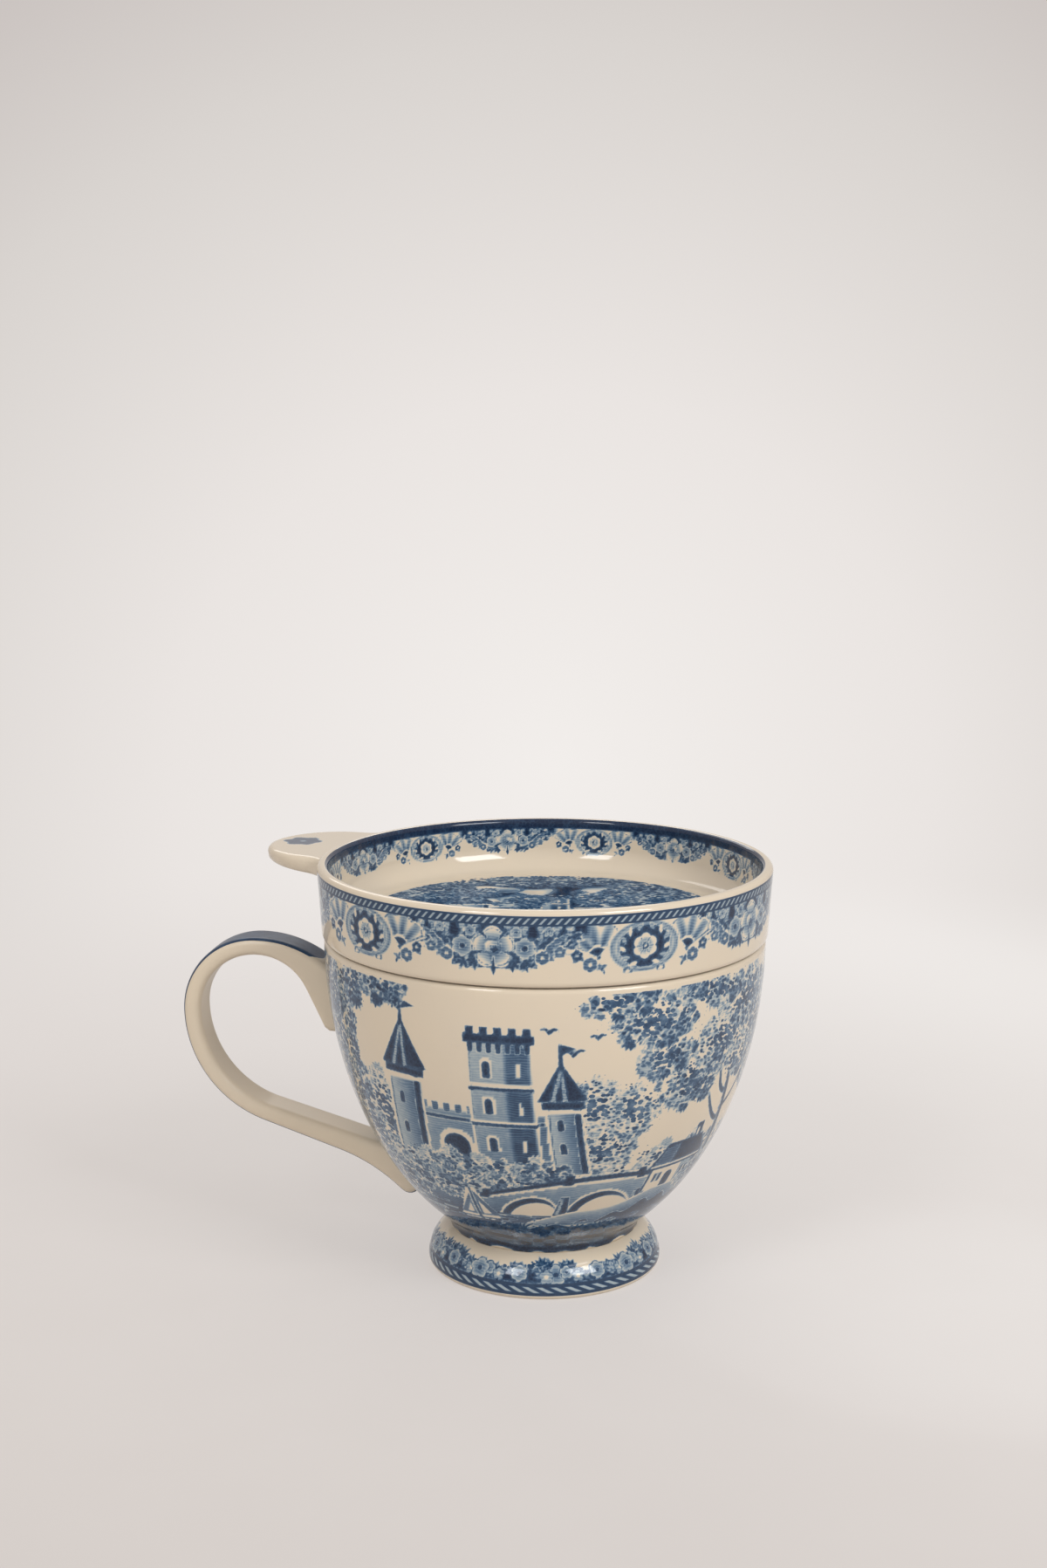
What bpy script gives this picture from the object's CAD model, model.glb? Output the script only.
from math import asin, atan2, cos, hypot, pi, radians, sin, sqrt, tan

import bpy
import numpy as np
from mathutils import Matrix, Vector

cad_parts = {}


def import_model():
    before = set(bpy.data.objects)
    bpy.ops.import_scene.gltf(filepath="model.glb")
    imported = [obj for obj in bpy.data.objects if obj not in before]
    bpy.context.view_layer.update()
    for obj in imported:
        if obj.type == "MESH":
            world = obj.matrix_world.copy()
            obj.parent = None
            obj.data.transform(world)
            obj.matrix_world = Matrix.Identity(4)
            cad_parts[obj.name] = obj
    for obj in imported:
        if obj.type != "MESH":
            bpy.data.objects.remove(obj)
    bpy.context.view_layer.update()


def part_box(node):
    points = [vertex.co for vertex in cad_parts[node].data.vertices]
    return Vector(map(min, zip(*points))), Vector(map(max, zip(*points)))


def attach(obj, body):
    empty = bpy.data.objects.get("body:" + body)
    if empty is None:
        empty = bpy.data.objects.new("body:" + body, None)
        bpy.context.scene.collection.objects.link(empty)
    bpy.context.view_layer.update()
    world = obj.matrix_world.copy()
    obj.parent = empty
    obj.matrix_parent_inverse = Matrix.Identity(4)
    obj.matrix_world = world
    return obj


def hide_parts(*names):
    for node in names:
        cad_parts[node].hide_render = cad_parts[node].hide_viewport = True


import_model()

# A glazed tea cup with a loose dish for a lid, printed in blue on cream. Sizes are in millimetres.
MM = 0.001


def node_box(node):
    """Lowest and highest corner of a node in millimetres."""
    low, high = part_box(node)
    return np.array(low) / MM, np.array(high) / MM


bowl_low, bowl_high = node_box("cup_bowl")
handle_low, handle_high = node_box("handle")
foot_high = node_box("foot_ring")[1]
dish_high = node_box("lid_dish")[1]
tab_high = node_box("thumb_tab")[1]

# Bowl
mouth_height = bowl_high[2]
mouth_radius = bowl_high[0]
neck_height = bowl_low[2]
neck_radius = 21.1
bowl_wall = 3.2
bowl_floor = 3.6
rim_round = 1.0
flare_rise = 4.2
flare_run = 3.1
flare_height = neck_height + flare_rise
flare_radius = neck_radius + flare_run
bowl_depth = (mouth_height - flare_height) / sqrt(1 - (flare_radius / mouth_radius) ** 2)
inner_radius = mouth_radius - bowl_wall
inner_depth = mouth_height - neck_height - bowl_floor

# Foot
foot_radius = foot_high[0]
foot_band_height = 2.9
foot_band_bulge = 0.35
foot_land = 4.2
foot_wall = 5.6
foot_edge_round = 0.35
foot_side_angle = radians(85)
foot_top_angle = radians(25)

# Handle
handle_reach = -handle_low[0]
handle_top = handle_high[2]
handle_half = handle_high[1]
handle_thickness = 4.0
handle_edge_round = 1.7
crown_radius = 17.0
shoulder_radius = 26.0
lower_bend_radius = 27.0
upper_pad_drop = 21.0
upper_pad_lean = radians(25)
upper_pad_height = handle_top - upper_pad_drop
tail_height = 15.9
tail_drop = 1.7
tail_length = 17.0
tail_round = 2.4
skin_top = 8.0
skin_bottom = 1.0
root_depth = 1.3

# Dish
dish_top = dish_high[2]
dish_overhang = 0.4
dish_draught = 1.0
dish_seat_radius = mouth_radius + dish_overhang
dish_radius = dish_seat_radius + dish_draught
dish_wall = 2.5
dish_inner_draught = 1.2
dish_floor = 4.0
dish_cove = 6.0
dish_bottom_round = 1.6
dish_lip_round = 1.1
ring_height = 4.0
ring_wall = 3.0
ring_round = 1.0
ring_clearance = 0.8
ring_outer = inner_radius - ring_clearance

# Thumb tab
tab_heading = radians(14)
tab_length = 17.0
tab_tip = dish_radius + tab_length
tab_tip_radius = 15.5
tab_root_round = 8.0
tab_root_thickness = 4.3
tab_tip_thickness = 2.6
tab_edge_round = 1.1
tab_top = tab_high[2]
tab_root_depth = 1.0
tab_root_radius = dish_seat_radius - tab_root_depth

# The camera looks at the cup from this direction, measured round the cup's axis from +X
front = radians(-82)

# Every turned surface starts its columns behind the handle
SEAM = pi


# Profiles and surfaces


def line(start, end, count):
    """Points evenly spaced from start to end, with the end left out."""
    share = np.arange(count)[:, None] / count
    return np.array(start) + share * (np.array(end) - np.array(start))


def arc(middle, radius, first, last, count):
    """Points on a circle, or an ellipse with two radii, between two angles, with the last left out."""
    turn = first + (last - first) * np.arange(count) / count
    return np.array(middle) + np.stack([np.cos(turn), np.sin(turn)], 1) * np.array(radius)


def eased(start, leave, end, arrive, count):
    """Cubic from start to end that leaves and arrives along unit directions, as strong as its chord."""
    start, end = np.array(start), np.array(end)
    chord = np.hypot(*(end - start))
    t = np.arange(count)[:, None] / count
    pull = (t - 2 * t**2 + t**3) * np.array(leave) + (t**3 - t**2) * np.array(arrive)
    return start + (3 * t**2 - 2 * t**3) * (end - start) + pull * chord


def even(points, count):
    """The same open line again, with its points evenly spaced along it, with the end left out."""
    travel = along(points)
    stops = np.arange(count) / count * travel[-1]
    return np.stack([np.interp(stops, travel, points[:, axis]) for axis in range(points.shape[1])], 1)


def along(points):
    """Distance travelled along a line of points."""
    steps = np.hypot(*np.diff(points, axis=0)[:, :2].T)
    return np.concatenate([[0], np.cumsum(steps)])


def corner(before, point, after, radius, count):
    """Arc that rounds one corner of an outline, from its first to its last tangent point."""
    point = np.array(point, float)
    back = np.array(before) - point
    forth = np.array(after) - point
    back = back / np.hypot(*back)
    forth = forth / np.hypot(*forth)
    half = np.arccos(np.clip(back @ forth, -1, 1)) / 2
    middle = point + (back + forth) / np.hypot(*(back + forth)) * radius / sin(half)
    first = point + back * radius / tan(half) - middle
    last = point + forth * radius / tan(half) - middle
    start = atan2(first[1], first[0])
    sweep = (atan2(last[1], last[0]) - start + pi) % (2 * pi) - pi
    return arc(middle, radius, start, start + sweep, count + 1)


def make_mesh(name, points, polygons, corner_uv, finish):
    """Smooth object from points in millimetres and index arrays, each array with polygons of one size."""
    mesh = bpy.data.meshes.new(name)
    sizes = np.concatenate([np.full(len(part), part.shape[1]) for part in polygons])
    corners = np.concatenate([part.ravel() for part in polygons])
    mesh.vertices.add(len(points))
    mesh.vertices.foreach_set("co", (points * MM).astype(np.float32).ravel())
    mesh.loops.add(len(corners))
    mesh.loops.foreach_set("vertex_index", corners.astype(np.int32))
    mesh.polygons.add(len(sizes))
    starts = np.cumsum(sizes) - sizes
    mesh.polygons.foreach_set("loop_start", starts.astype(np.int32))
    mesh.polygons.foreach_set("use_smooth", np.ones(len(sizes), bool))
    mesh.update(calc_edges=True)
    layer = mesh.uv_layers.new(name="OFBake")
    layer.data.foreach_set("uv", np.concatenate(corner_uv).astype(np.float32).ravel())
    mesh.materials.append(finish)
    mesh.validate()
    piece = bpy.data.objects.new(name, mesh)
    bpy.context.scene.collection.objects.link(piece)
    return piece


def claim(piece, body, node):
    """Ties a piece to the body it rides on, the node it stands for and its finish's slot."""
    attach(piece, body)
    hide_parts(node)


def note(piece, name, values):
    """Stores one number, or three, on each point of a piece for its finish to read."""
    kind, field = ("FLOAT", "value") if values.ndim == 1 else ("FLOAT_VECTOR", "vector")
    attribute = piece.data.attributes.new(name, kind, "POINT")
    attribute.data.foreach_set(field, values.astype(np.float32).ravel())


class Turned:
    """Surface of revolution: rows of a (radius, height) profile, each with its own number of columns.

    Neighbouring rows have the same count, or one is a whole multiple of the other. A row at the axis has
    one point. A ring's last row joins its first.
    """

    def __init__(self, bands, ring=False):
        self.profile = np.concatenate([points for points, columns in bands])
        self.columns = np.concatenate([np.full(len(points), columns) for points, columns in bands])
        self.columns[self.profile[:, 0] < 1e-6] = 1
        self.first = np.cumsum(self.columns) - self.columns
        self.ring = ring
        self.travel = along(np.concatenate([self.profile, self.profile[:1]]))
        row = np.repeat(np.arange(len(self.columns)), self.columns)
        place = np.arange(len(row)) - self.first[row]
        turn = SEAM + 2 * pi * place / self.columns[row]
        radius, height = self.profile[row].T
        self.points = np.stack([radius * np.cos(turn), radius * np.sin(turn), height], 1)
        self.row = row

    def strip(self, low, high):
        """Polygons between two rows and their UVs: quads, or fans where the column counts differ."""
        few = min(self.columns[low], self.columns[high])
        many = max(self.columns[low], self.columns[high])
        fold = many // few if few > 1 else 1
        cell = np.arange(many // fold)[:, None]
        fine = cell * fold + np.arange(fold + 1)
        coarse = cell + np.array([1, 0]) if few > 1 else cell * 0
        fine_row, coarse_row = (low, high) if self.columns[low] == many else (high, low)
        index = np.concatenate([self.first[fine_row] + fine % many, self.first[coarse_row] + coarse % few], 1)
        across = coarse / few if few > 1 else (cell + 0.5) / many
        u = np.concatenate([fine / many, across], 1)
        v = np.concatenate([np.full(fine.shape, fine_row), np.full(coarse.shape, coarse_row)], 1)
        v = np.where((v == 0) & (max(low, high) == len(self.columns) - 1) & self.ring, len(self.columns), v)
        uv = np.stack([u, self.travel[v] / self.travel[-1]], 2)
        if fine_row == high:
            index, uv = index[:, ::-1], uv[:, ::-1]
        return index, uv.reshape(-1, 2)

    def make(self, name, finish):
        """Smooth object: every pair of neighbouring rows is joined by a strip of polygons."""
        count = len(self.columns)
        pairs = [(row, row + 1) for row in range(count - 1)]
        if self.ring:
            pairs.append((count - 1, 0))
        polygons, uvs = zip(*[self.strip(low, high) for low, high in pairs])
        return make_mesh(name, self.points, polygons, uvs, finish)



# The print: shapes are levels in millimetres, positive inside and negative outside

LEVEL_LIMIT = 1.2
TONES = ("navy", "blue", "pale")
SOFT = ("wash", "dabs")


def turned(x, y, turn):
    """Coordinates in a frame turned anticlockwise by an angle."""
    return x * cos(turn) + y * sin(turn), y * cos(turn) - x * sin(turn)


def oval(x, y, wide, high):
    """Ellipse with its half width and half height."""
    return (1 - np.hypot(x / wide, y / high)) * min(wide, high)


def block(x, y, left, right, low, high):
    """Upright rectangle."""
    return np.minimum(np.minimum(x - left, right - x), np.minimum(y - low, high - y))


def convex(x, y, *corners):
    """Polygon with its corners given anticlockwise: the least distance inside its sides."""
    level = np.full(np.broadcast(x, y).shape, LEVEL_LIMIT)
    for (ax, ay), (bx, by) in zip(corners, corners[1:] + corners[:1]):
        length = hypot(bx - ax, by - ay)
        level = np.minimum(level, ((bx - ax) * (y - ay) - (by - ay) * (x - ax)) / length)
    return level


def leaf(x, y, length, width, turn):
    """Pointed leaf from the origin along a direction: a parabola on each side of its rib."""
    rib, side = turned(x, y, turn)
    share = 2 * rib / length - 1
    return width / 2 * (1 - share**2) - np.abs(side)


def stroke(x, y, start, end, wide, thin):
    """Straight stroke between two points, tapering from one width to another, with round ends."""
    run = np.subtract(end, start)
    share = np.clip(((x - start[0]) * run[0] + (y - start[1]) * run[1]) / (run @ run), 0, 1)
    away = np.hypot(x - start[0] - share * run[0], y - start[1] - share * run[1])
    return (wide + (thin - wide) * share) / 2 - away


def bough(x, y, start, pull, end, wide, thin, count=7):
    """Bent stroke: a parabola from start to end, drawn towards a third point, as short tapering strokes."""
    t = np.linspace(0, 1, count + 1)[:, None]
    points = (1 - t) ** 2 * np.array(start) + 2 * t * (1 - t) * np.array(pull) + t**2 * np.array(end)
    widths = wide + (thin - wide) * t[:, 0]
    parts = [stroke(x, y, points[k], points[k + 1], widths[k], widths[k + 1]) for k in range(count)]
    return np.max(parts, 0)


def arched(x, y, half, high):
    """Opening with upright sides and a round head, standing on the origin."""
    shaft = block(x, y, -half, half, 0, high - half)
    head = np.minimum(half - np.hypot(x, y - high + half), y)
    return np.maximum(shaft, head)


def flower(x, y, petals, radius, depth=0.26, turn=0.0):
    """Round flower whose edge swells with each petal."""
    edge = 1 - depth + depth * np.cos(petals * (np.arctan2(y, x) - turn))
    return radius * edge - np.hypot(x, y)


def fan(x, y, turn, size, count=5, spread=1.25, plump=0.26):
    """Fan of leaflets about one direction, the middle one longest."""
    offsets = np.linspace(-1, 1, count)
    parts = [leaf(x, y, size * (1 - 0.28 * abs(k)), size * plump, turn + k * spread) for k in offsets]
    return np.max(parts, 0)


class Print:
    """Ink on the printed rows of a turned piece, drawn in millimetres across the front and up from a line.

    Each tone has a level field on the rows' points. Laying one tone takes the others away, so that the finish
    can cut every edge crisply between the points.
    """

    def __init__(self, surface, rows, up, measure, seed, scale=1.0):
        self.surface = surface
        self.rows = rows
        self.columns = surface.columns[rows[0]]
        self.angles = SEAM + 2 * pi * np.arange(self.columns) / self.columns
        self.radii = surface.profile[rows, 0] / scale
        self.up = up / scale
        self.measure = measure / scale
        self.levels = np.full((len(TONES), len(rows), self.columns), -LEVEL_LIMIT)
        self.soft = {name: np.zeros((len(rows), self.columns)) for name in SOFT}
        self.lots = np.random.default_rng(seed)

    def near(self, across, up, reach):
        """Rows and columns within reach of a place, with millimetres right of it and above it."""
        rows = np.flatnonzero(np.abs(self.up - up) < reach)
        turn = (self.angles - front - across / self.measure + pi) % (2 * pi) - pi
        narrow = self.radii[rows].min() if len(rows) else self.measure
        columns = np.flatnonzero(np.abs(turn) * narrow < reach)
        x = turn[columns][None, :] * self.radii[rows][:, None]
        y = (self.up[rows] - up)[:, None] + 0 * x
        return np.ix_(rows, columns), x, y

    def lay(self, where, tone, level):
        """Puts one tone inside a shape and takes the others away there. Bare takes them all away.

        A wash is soft shading instead, and dabs are loose leaves, both nought to one. They leave the tones as
        they are.
        """
        if tone in SOFT:
            self.soft[tone][where] = np.maximum(self.soft[tone][where], np.clip(level, 0, 1))
            return
        level = np.clip(level, -LEVEL_LIMIT, LEVEL_LIMIT)
        for name, field in zip(TONES, self.levels):
            if name == tone:
                field[where] = np.maximum(field[where], level)
            else:
                field[where] = np.minimum(field[where], -level)
        for field in self.soft.values():
            field[where] *= level < 0

    def draw(self, across, up, reach, motif, *details, scale=1.0):
        """Draws a motif, which gives its tones and levels in order, at a place and to a scale."""
        where, x, y = self.near(across, up, reach * scale)
        for tone, level in motif(x / scale, y / scale, *details):
            self.lay(where, tone, level if tone in SOFT else level * scale)

    def store(self, tones, soft):
        """Copies the fields to the piece's points."""
        for k, row in enumerate(self.rows):
            points = slice(self.surface.first[row], self.surface.first[row] + self.columns)
            tones[points] = self.levels[:, k].T
            for name in SOFT:
                soft[name][points] = self.soft[name][k]


class FloorPrint(Print):
    """Ink on the dish's floor, drawn in millimetres right of its middle and away from the viewer."""

    def __init__(self, surface, points, seed):
        self.points = points
        east, north = surface.points[points, :2].T
        self.right = cos(front) * north - sin(front) * east
        self.ahead = -cos(front) * east - sin(front) * north
        self.levels = np.full((len(TONES), len(points)), -LEVEL_LIMIT)
        self.soft = {name: np.zeros(len(points)) for name in SOFT}
        self.lots = np.random.default_rng(seed)

    def near(self, across, up, reach):
        x = self.right - across
        y = self.ahead - up
        where = np.flatnonzero(np.maximum(np.abs(x), np.abs(y)) < reach)
        return where, x[where], y[where]

    def store(self, tones, soft):
        tones[self.points] = self.levels.T
        for name in SOFT:
            soft[name][self.points] = self.soft[name]


# Motifs


def shading(level, strength):
    """Soft shading of a strength inside a shape, which fades out over half a millimetre at its edge."""
    return strength * np.clip(2 * level + 0.5, 0, 1)


def outlined(level, margin, strength):
    """Light shape in a bare margin: a thin blue outline round soft shading of a strength."""
    yield "bare", level + margin
    yield "blue", level
    yield "bare", level - 0.35
    yield "wash", shading(level, strength)


def spray(x, y, tone, halo, turn, size, count):
    """Fan of leaves in one tone with an edge of another around it."""
    level = fan(x, y, turn, size, count)
    yield halo, level + 0.2
    yield tone, level


DARK = ("navy", "navy", "navy", "blue", "blue")
MIXED = ("navy", "navy", "blue", "blue", "pale")
FAINT = ("blue", "pale", "blue", "pale", "pale")
HALOS = ("bare", "pale", "bare")
BUSH_LEAFLETS = 7


def loose_leaves(x, y, wide, high):
    """Dabs over an ellipse, which thin out towards its edge and a little past it."""
    yield "dabs", 1.35 - 0.95 * np.hypot(x / wide, y / high)


def foliage(sheet, across, up, wide, high, count, size=2.8, droop=0.5, tones=MIXED, halos=HALOS):
    """Leaf sprays in an ellipse, drawn from its top, darker to the right and below, under loose dabs."""
    radius = np.sqrt(sheet.lots.random(count))
    angle = 2 * pi * sheet.lots.random(count)
    right, rise = radius * np.cos(angle), radius * np.sin(angle)
    luck = sheet.lots.random((4, count))
    light = (rise - right) * 0.3 + 0.5 + (luck[0] - 0.5) * 0.7
    for k in np.argsort(-rise):
        tone = tones[int(np.clip(light[k], 0, 0.99) * len(tones))]
        halo = halos[int(luck[3, k] * len(halos))]
        turn = atan2(rise[k] * high - droop * high, right[k] * wide) + (luck[1, k] - 0.5) * 1.2
        length = size * (0.75 + 0.5 * luck[2, k])
        place = across + right[k] * wide, up + rise[k] * high
        sheet.draw(*place, 1.3 * size + 1, spray, tone, halo, turn, length, BUSH_LEAFLETS)
    sheet.draw(across, up, 1.4 * max(wide, high), loose_leaves, wide, high)


def thicket(sheet, shift, masses, size, tones, halos=HALOS, density=1.0):
    """Several masses of leaves, each with its place, half width and half height."""
    for across, up, wide, high in masses:
        count = round(density * wide * high)
        foliage(sheet, shift + across, up, wide, high, count, size, tones=tones, halos=halos)


def trunk(x, y, lean, high, wide):
    """Stem with two roots and three boughs, lit on its left."""
    top = (lean, high)
    yield "navy", bough(x, y, (0, 0), (lean * 0.1, high * 0.5), top, wide, wide * 0.45)
    for side in (-1, 1):
        root = (side * wide * 0.9, -0.8), (side * 0.2, 0.3), (0, high * 0.25)
        yield "navy", bough(x, y, *root, wide * 0.5, wide * 0.6)
    for side, start, reach, rise in ((-1, 0.55, 0.55, 0.95), (1, 0.65, 0.5, 1.0), (-1, 0.8, 0.3, 1.15)):
        begin = (lean * start, high * start)
        end = (lean * start + side * reach * high * 0.6, high * rise)
        pull = (begin[0] + side * high * 0.16, high * start + 1)
        yield "navy", bough(x, y, begin, pull, end, wide * 0.5, 0.6)
    light = (-wide * 0.22, 0.5), (lean * 0.1 - wide * 0.2, high * 0.5), (lean - 0.2, high * 0.9)
    yield "pale", bough(x, y, *light, wide * 0.24, 0.3)


def round_tower(x, y, half, high, roof):
    """Round tower with a ribbed cone roof, a moulding, slit windows and a pennant, shaded to its right."""
    wall = block(x, y, -half, half, 0, high)
    yield from outlined(wall, 0.5, 0.24 + 0.5 * np.clip(0.4 + 0.6 * x / half, 0, 1))
    yield "navy", block(x, y, half * 0.6, half, 0, high)
    yield "navy", block(x, y, -half - 0.8, half + 0.8, high - 1.3, high)
    yield "bare", block(x, y, -half - 0.8, half + 0.8, high - 2.1, high - 1.45)
    cone = convex(x, y, (-half - 1.4, high), (half + 1.4, high), (0, high + roof))
    yield "navy", cone
    for foot in (-0.62 * half, 0.12 * half):
        yield "pale", np.minimum(cone, stroke(x, y, (foot, high + 0.3), (0, high + roof - 1), 0.6, 0.3))
    yield "navy", stroke(x, y, (0, high + roof - 1), (0, high + roof + 2.6), 0.7, 0.5)
    yield "navy", convex(x, y, (0, high + roof + 1.2), (2.6, high + roof + 1.9), (0, high + roof + 2.8))
    for level in (0.3, 0.62):
        yield "navy", arched(x + half * 0.3, y - high * level, 0.5, 2.1)


def battlement(x, y, left, right, low, tone, pitch=2.0):
    """Row of merlons on a wall's top."""
    middle = (left + right) / 2
    count = max(1, round((right - left) / pitch))
    beat = (right - left) / count
    place = np.abs((x - left) % beat - beat / 2)
    run = (right - left) / 2 - np.abs(x - middle)
    yield tone, np.minimum(np.minimum(beat * 0.27 - place, run), np.minimum(y - low + 0.4, low + 1.1 - y))


def castle(x, y):
    """Hill castle: a curtain wall with a gate, a square keep with string courses and two round towers."""
    curtain = block(x, y, -13, 14, -2, 9)
    yield "bare", curtain
    yield "wash", shading(curtain, 0.30 + 0.012 * (x + 13))
    yield from battlement(x, y, -13, 14, 9, "blue")
    yield "navy", block(x, y, -13, 14, 7.3, 7.9)
    yield "bare", arched(x + 3.4, y + 2, 2.9, 7.8)
    yield "navy", arched(x + 3.4, y + 2, 2.2, 6.9)
    keep = block(x, y, 0, 9, 0, 22)
    yield from outlined(keep, 0.6, 0.20 + 0.012 * (22 - y) + 0.42 * np.clip((x - 5.0) * 1.4, 0, 1))
    for course in (6.9, 13.0):
        yield "navy", block(x, y, -0.4, 9.4, course, course + 0.6)
        yield "bare", block(x, y, -0.4, 9.4, course + 0.65, course + 1.2)
    yield "navy", block(x, y, -0.8, 9.8, 20.6, 22)
    for corbel in range(7):
        yield "navy", arched(x - 0.3 - 1.4 * corbel, 20.8 - y, 0.42, 1.7)
    yield from battlement(x, y, -0.8, 9.8, 22, "navy", 2.1)
    for up in (2.2, 9.0, 15.1):
        yield "bare", arched(x - 2.5, y - up, 1.0, 3.2)
        yield "navy", arched(x - 2.5, y - up, 0.6, 2.7)
        yield "bare", block(x, y, 6.9, 7.5, up + 0.2, up + 2.4)
    yield from round_tower(x + 11.5, y + 2, 2.9, 17, 8)
    yield from round_tower(x - 13.5, y + 2, 2.4, 13.5, 6.5)


def bridge(x, y):
    """Stone bridge of three arches with a humped parapet, pointed piers and dark undersides."""
    top = 10.4 - 0.0095 * x**2
    half = 23.0
    stone = np.minimum(np.minimum(top - y, y + 0.6), half - np.abs(x))
    yield "bare", stone
    yield "wash", shading(stone, 0.62 - 0.035 * y)
    for middle, radius in ((0, 5.4), (-13.2, 4.3), (13.2, 4.3)):
        shift = x - middle
        yield "bare", np.minimum(radius + 1.1 - np.hypot(shift, y), y + 0.6)
        yield "navy", np.minimum(radius + 0.55 - np.hypot(shift, y), y + 0.6)
        yield "bare", np.minimum(radius - 0.1 - np.hypot(shift - 0.95, y + 0.75), y + 0.9)
    for middle in (-7.3, 7.3):
        yield "navy", convex(x - middle, y, (-1.3, -0.9), (1.3, -0.9), (0.8, 5.0), (-0.8, 5.0))
        yield "pale", convex(x - middle, y, (-0.9, -0.4), (-0.2, -0.4), (-0.2, 4.6), (-0.6, 4.6))
    yield "bare", np.minimum(0.36 - np.abs(y - top + 1.55), half - np.abs(x))
    yield "navy", np.minimum(0.62 - np.abs(y - top + 0.5), half + 0.6 - np.abs(x))
    for post in (-22.4, -7.3, 7.3, 22.4):
        head = 10.4 - 0.0095 * post**2
        yield "navy", block(x - post, y, -0.9, 0.9, head - 1.6, head + 1.1)


def cottage(x, y):
    """Cottage with a deep thatched roof, a chimney, a door and two windows."""
    yield "bare", block(x, y, -7.4, 7.4, -0.4, 7)
    yield "pale", block(x, y, 1.5, 7, 0, 6.4)
    yield "blue", block(x, y, 5.2, 7, 0, 6.4)
    yield "navy", stroke(x, y, (-7, 0), (-7, 6), 0.6, 0.6)
    yield "navy", block(x, y, 2.2, 4.4, 11, 15.4)
    yield "bare", block(x, y, 2.7, 3.4, 12, 14.2)
    yield "navy", convex(x, y, (-8.6, 5.6), (8.8, 5.6), (5.4, 12.2), (-5.2, 12.2))
    yield "blue", convex(x, y, (-7.2, 6.6), (-2.4, 6.6), (-1.6, 11.3), (-4.8, 11.3))
    yield "bare", np.minimum(0.3 - np.abs(y - 6.5), 7.6 - np.abs(x))
    yield "navy", arched(x + 1.4, y, 1.15, 4.3)
    for middle in (-4.6, 3.4):
        yield "navy", block(x, y, middle - 1.0, middle + 1.0, 2.0, 4.4)
        yield "bare", block(x, y, middle - 0.26, middle + 0.26, 2.3, 4.1)


def boat(x, y):
    """Small sailing boat with two sails and a pennant."""
    yield "bare", convex(x, y, (-5.6, -1.0), (6.0, -1.0), (1.2, 12.6), (-0.6, 12.6))
    yield "navy", convex(x, y, (-5.2, 1.4), (-3.8, -0.7), (4.0, -0.7), (5.6, 1.6))
    yield "bare", np.minimum(0.3 - np.abs(y - 0.75), 4.0 - np.abs(x))
    yield "navy", stroke(x, y, (0.2, 1), (0.2, 12.2), 0.75, 0.55)
    yield "blue", convex(x, y, (0.7, 2.2), (5.6, 2.6), (0.7, 11.4))
    yield "bare", convex(x, y, (1.3, 2.9), (3.4, 3.0), (1.3, 8.2))
    yield "blue", convex(x, y, (-0.4, 2.2), (-0.4, 10.2), (-4.4, 2.4))
    yield "bare", convex(x, y, (-0.9, 3.0), (-0.9, 7.0), (-2.6, 3.0))
    yield "navy", convex(x, y, (0.2, 12.0), (0.2, 13.2), (-2.2, 12.6))


def bird(x, y, size, tilt):
    """Bird on the wing: two bent strokes."""
    for side in (1, -1):
        wing = (side * size * 0.5, size * 0.75), (side * size, size * (0.35 + side * tilt))
        yield "navy", bough(x, y, (0, 0), *wing, 0.75, 0.4, 4)


def dash(x, y, tone, length, width):
    """Lying stroke with pointed ends, such as a ripple."""
    yield tone, leaf(x + length / 2, y, length, width, 0.0)


def tuft(x, y, tone, size):
    """Tuft of grass: five bent blades."""
    for k in (-2, -1, 0, 1, 2):
        tip = (k * size * 0.34, size * (1 - 0.13 * abs(k)))
        yield tone, bough(x, y, (k * 0.25, -0.5), (k * size * 0.08, size * 0.6), tip, 0.75, 0.4, 4)


def fern(x, y, tone, size, side):
    """Arching frond with a row of leaflets on each side."""
    for k in np.linspace(0.15, 1.0, 7):
        rib = (side * size * k**1.4 * 0.8, size * (1.5 * k - 0.75 * k**2))
        for swing in (-0.9, 0.9):
            lean = (pi / 2 - side * k * 1.1) + swing
            yield tone, leaf(x - rib[0], y - rib[1], size * 0.34 * (1.15 - k * 0.6), 0.95, lean)


def ripples(sheet, left, right, low, high, count, tones=("blue", "pale", "navy")):
    """Scattered lying strokes over a stretch of water."""
    luck = sheet.lots.random((4, count))
    for k in range(count):
        tone = tones[int(luck[0, k] * len(tones))]
        place = left + (right - left) * luck[1, k], low + (high - low) * luck[2, k]
        sheet.draw(*place, 6, dash, tone, 3.0 + 6.0 * luck[3, k], 0.75)


# Shares of the tree's width and height: right, up, half width and half height of each mass
OAK_MASSES = (
    (-0.95, 0.76, 0.44, 0.14),
    (0.85, 0.72, 0.44, 0.15),
    (-0.45, 0.97, 0.50, 0.16),
    (0.42, 1.0, 0.48, 0.16),
    (0.0, 1.18, 0.54, 0.15),
    (-0.02, 0.80, 0.30, 0.10),
    (-1.35, 0.96, 0.34, 0.11),
    (1.25, 0.94, 0.34, 0.11),
)


def oak(sheet, across, up, high, wide, tones=MIXED, halos=HALOS):
    """Spreading tree: a stem, then masses of leaves with gaps of sky between them."""
    sheet.draw(across, up, 1.3 * high, trunk, -0.08 * high, 0.75 * high, 2.6)
    for right, rise, half, tall in OAK_MASSES:
        count = round(half * wide * tall * high)
        place = across + right * wide, up + rise * high
        foliage(sheet, *place, half * wide, tall * high, count, tones=tones, halos=halos)


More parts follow.
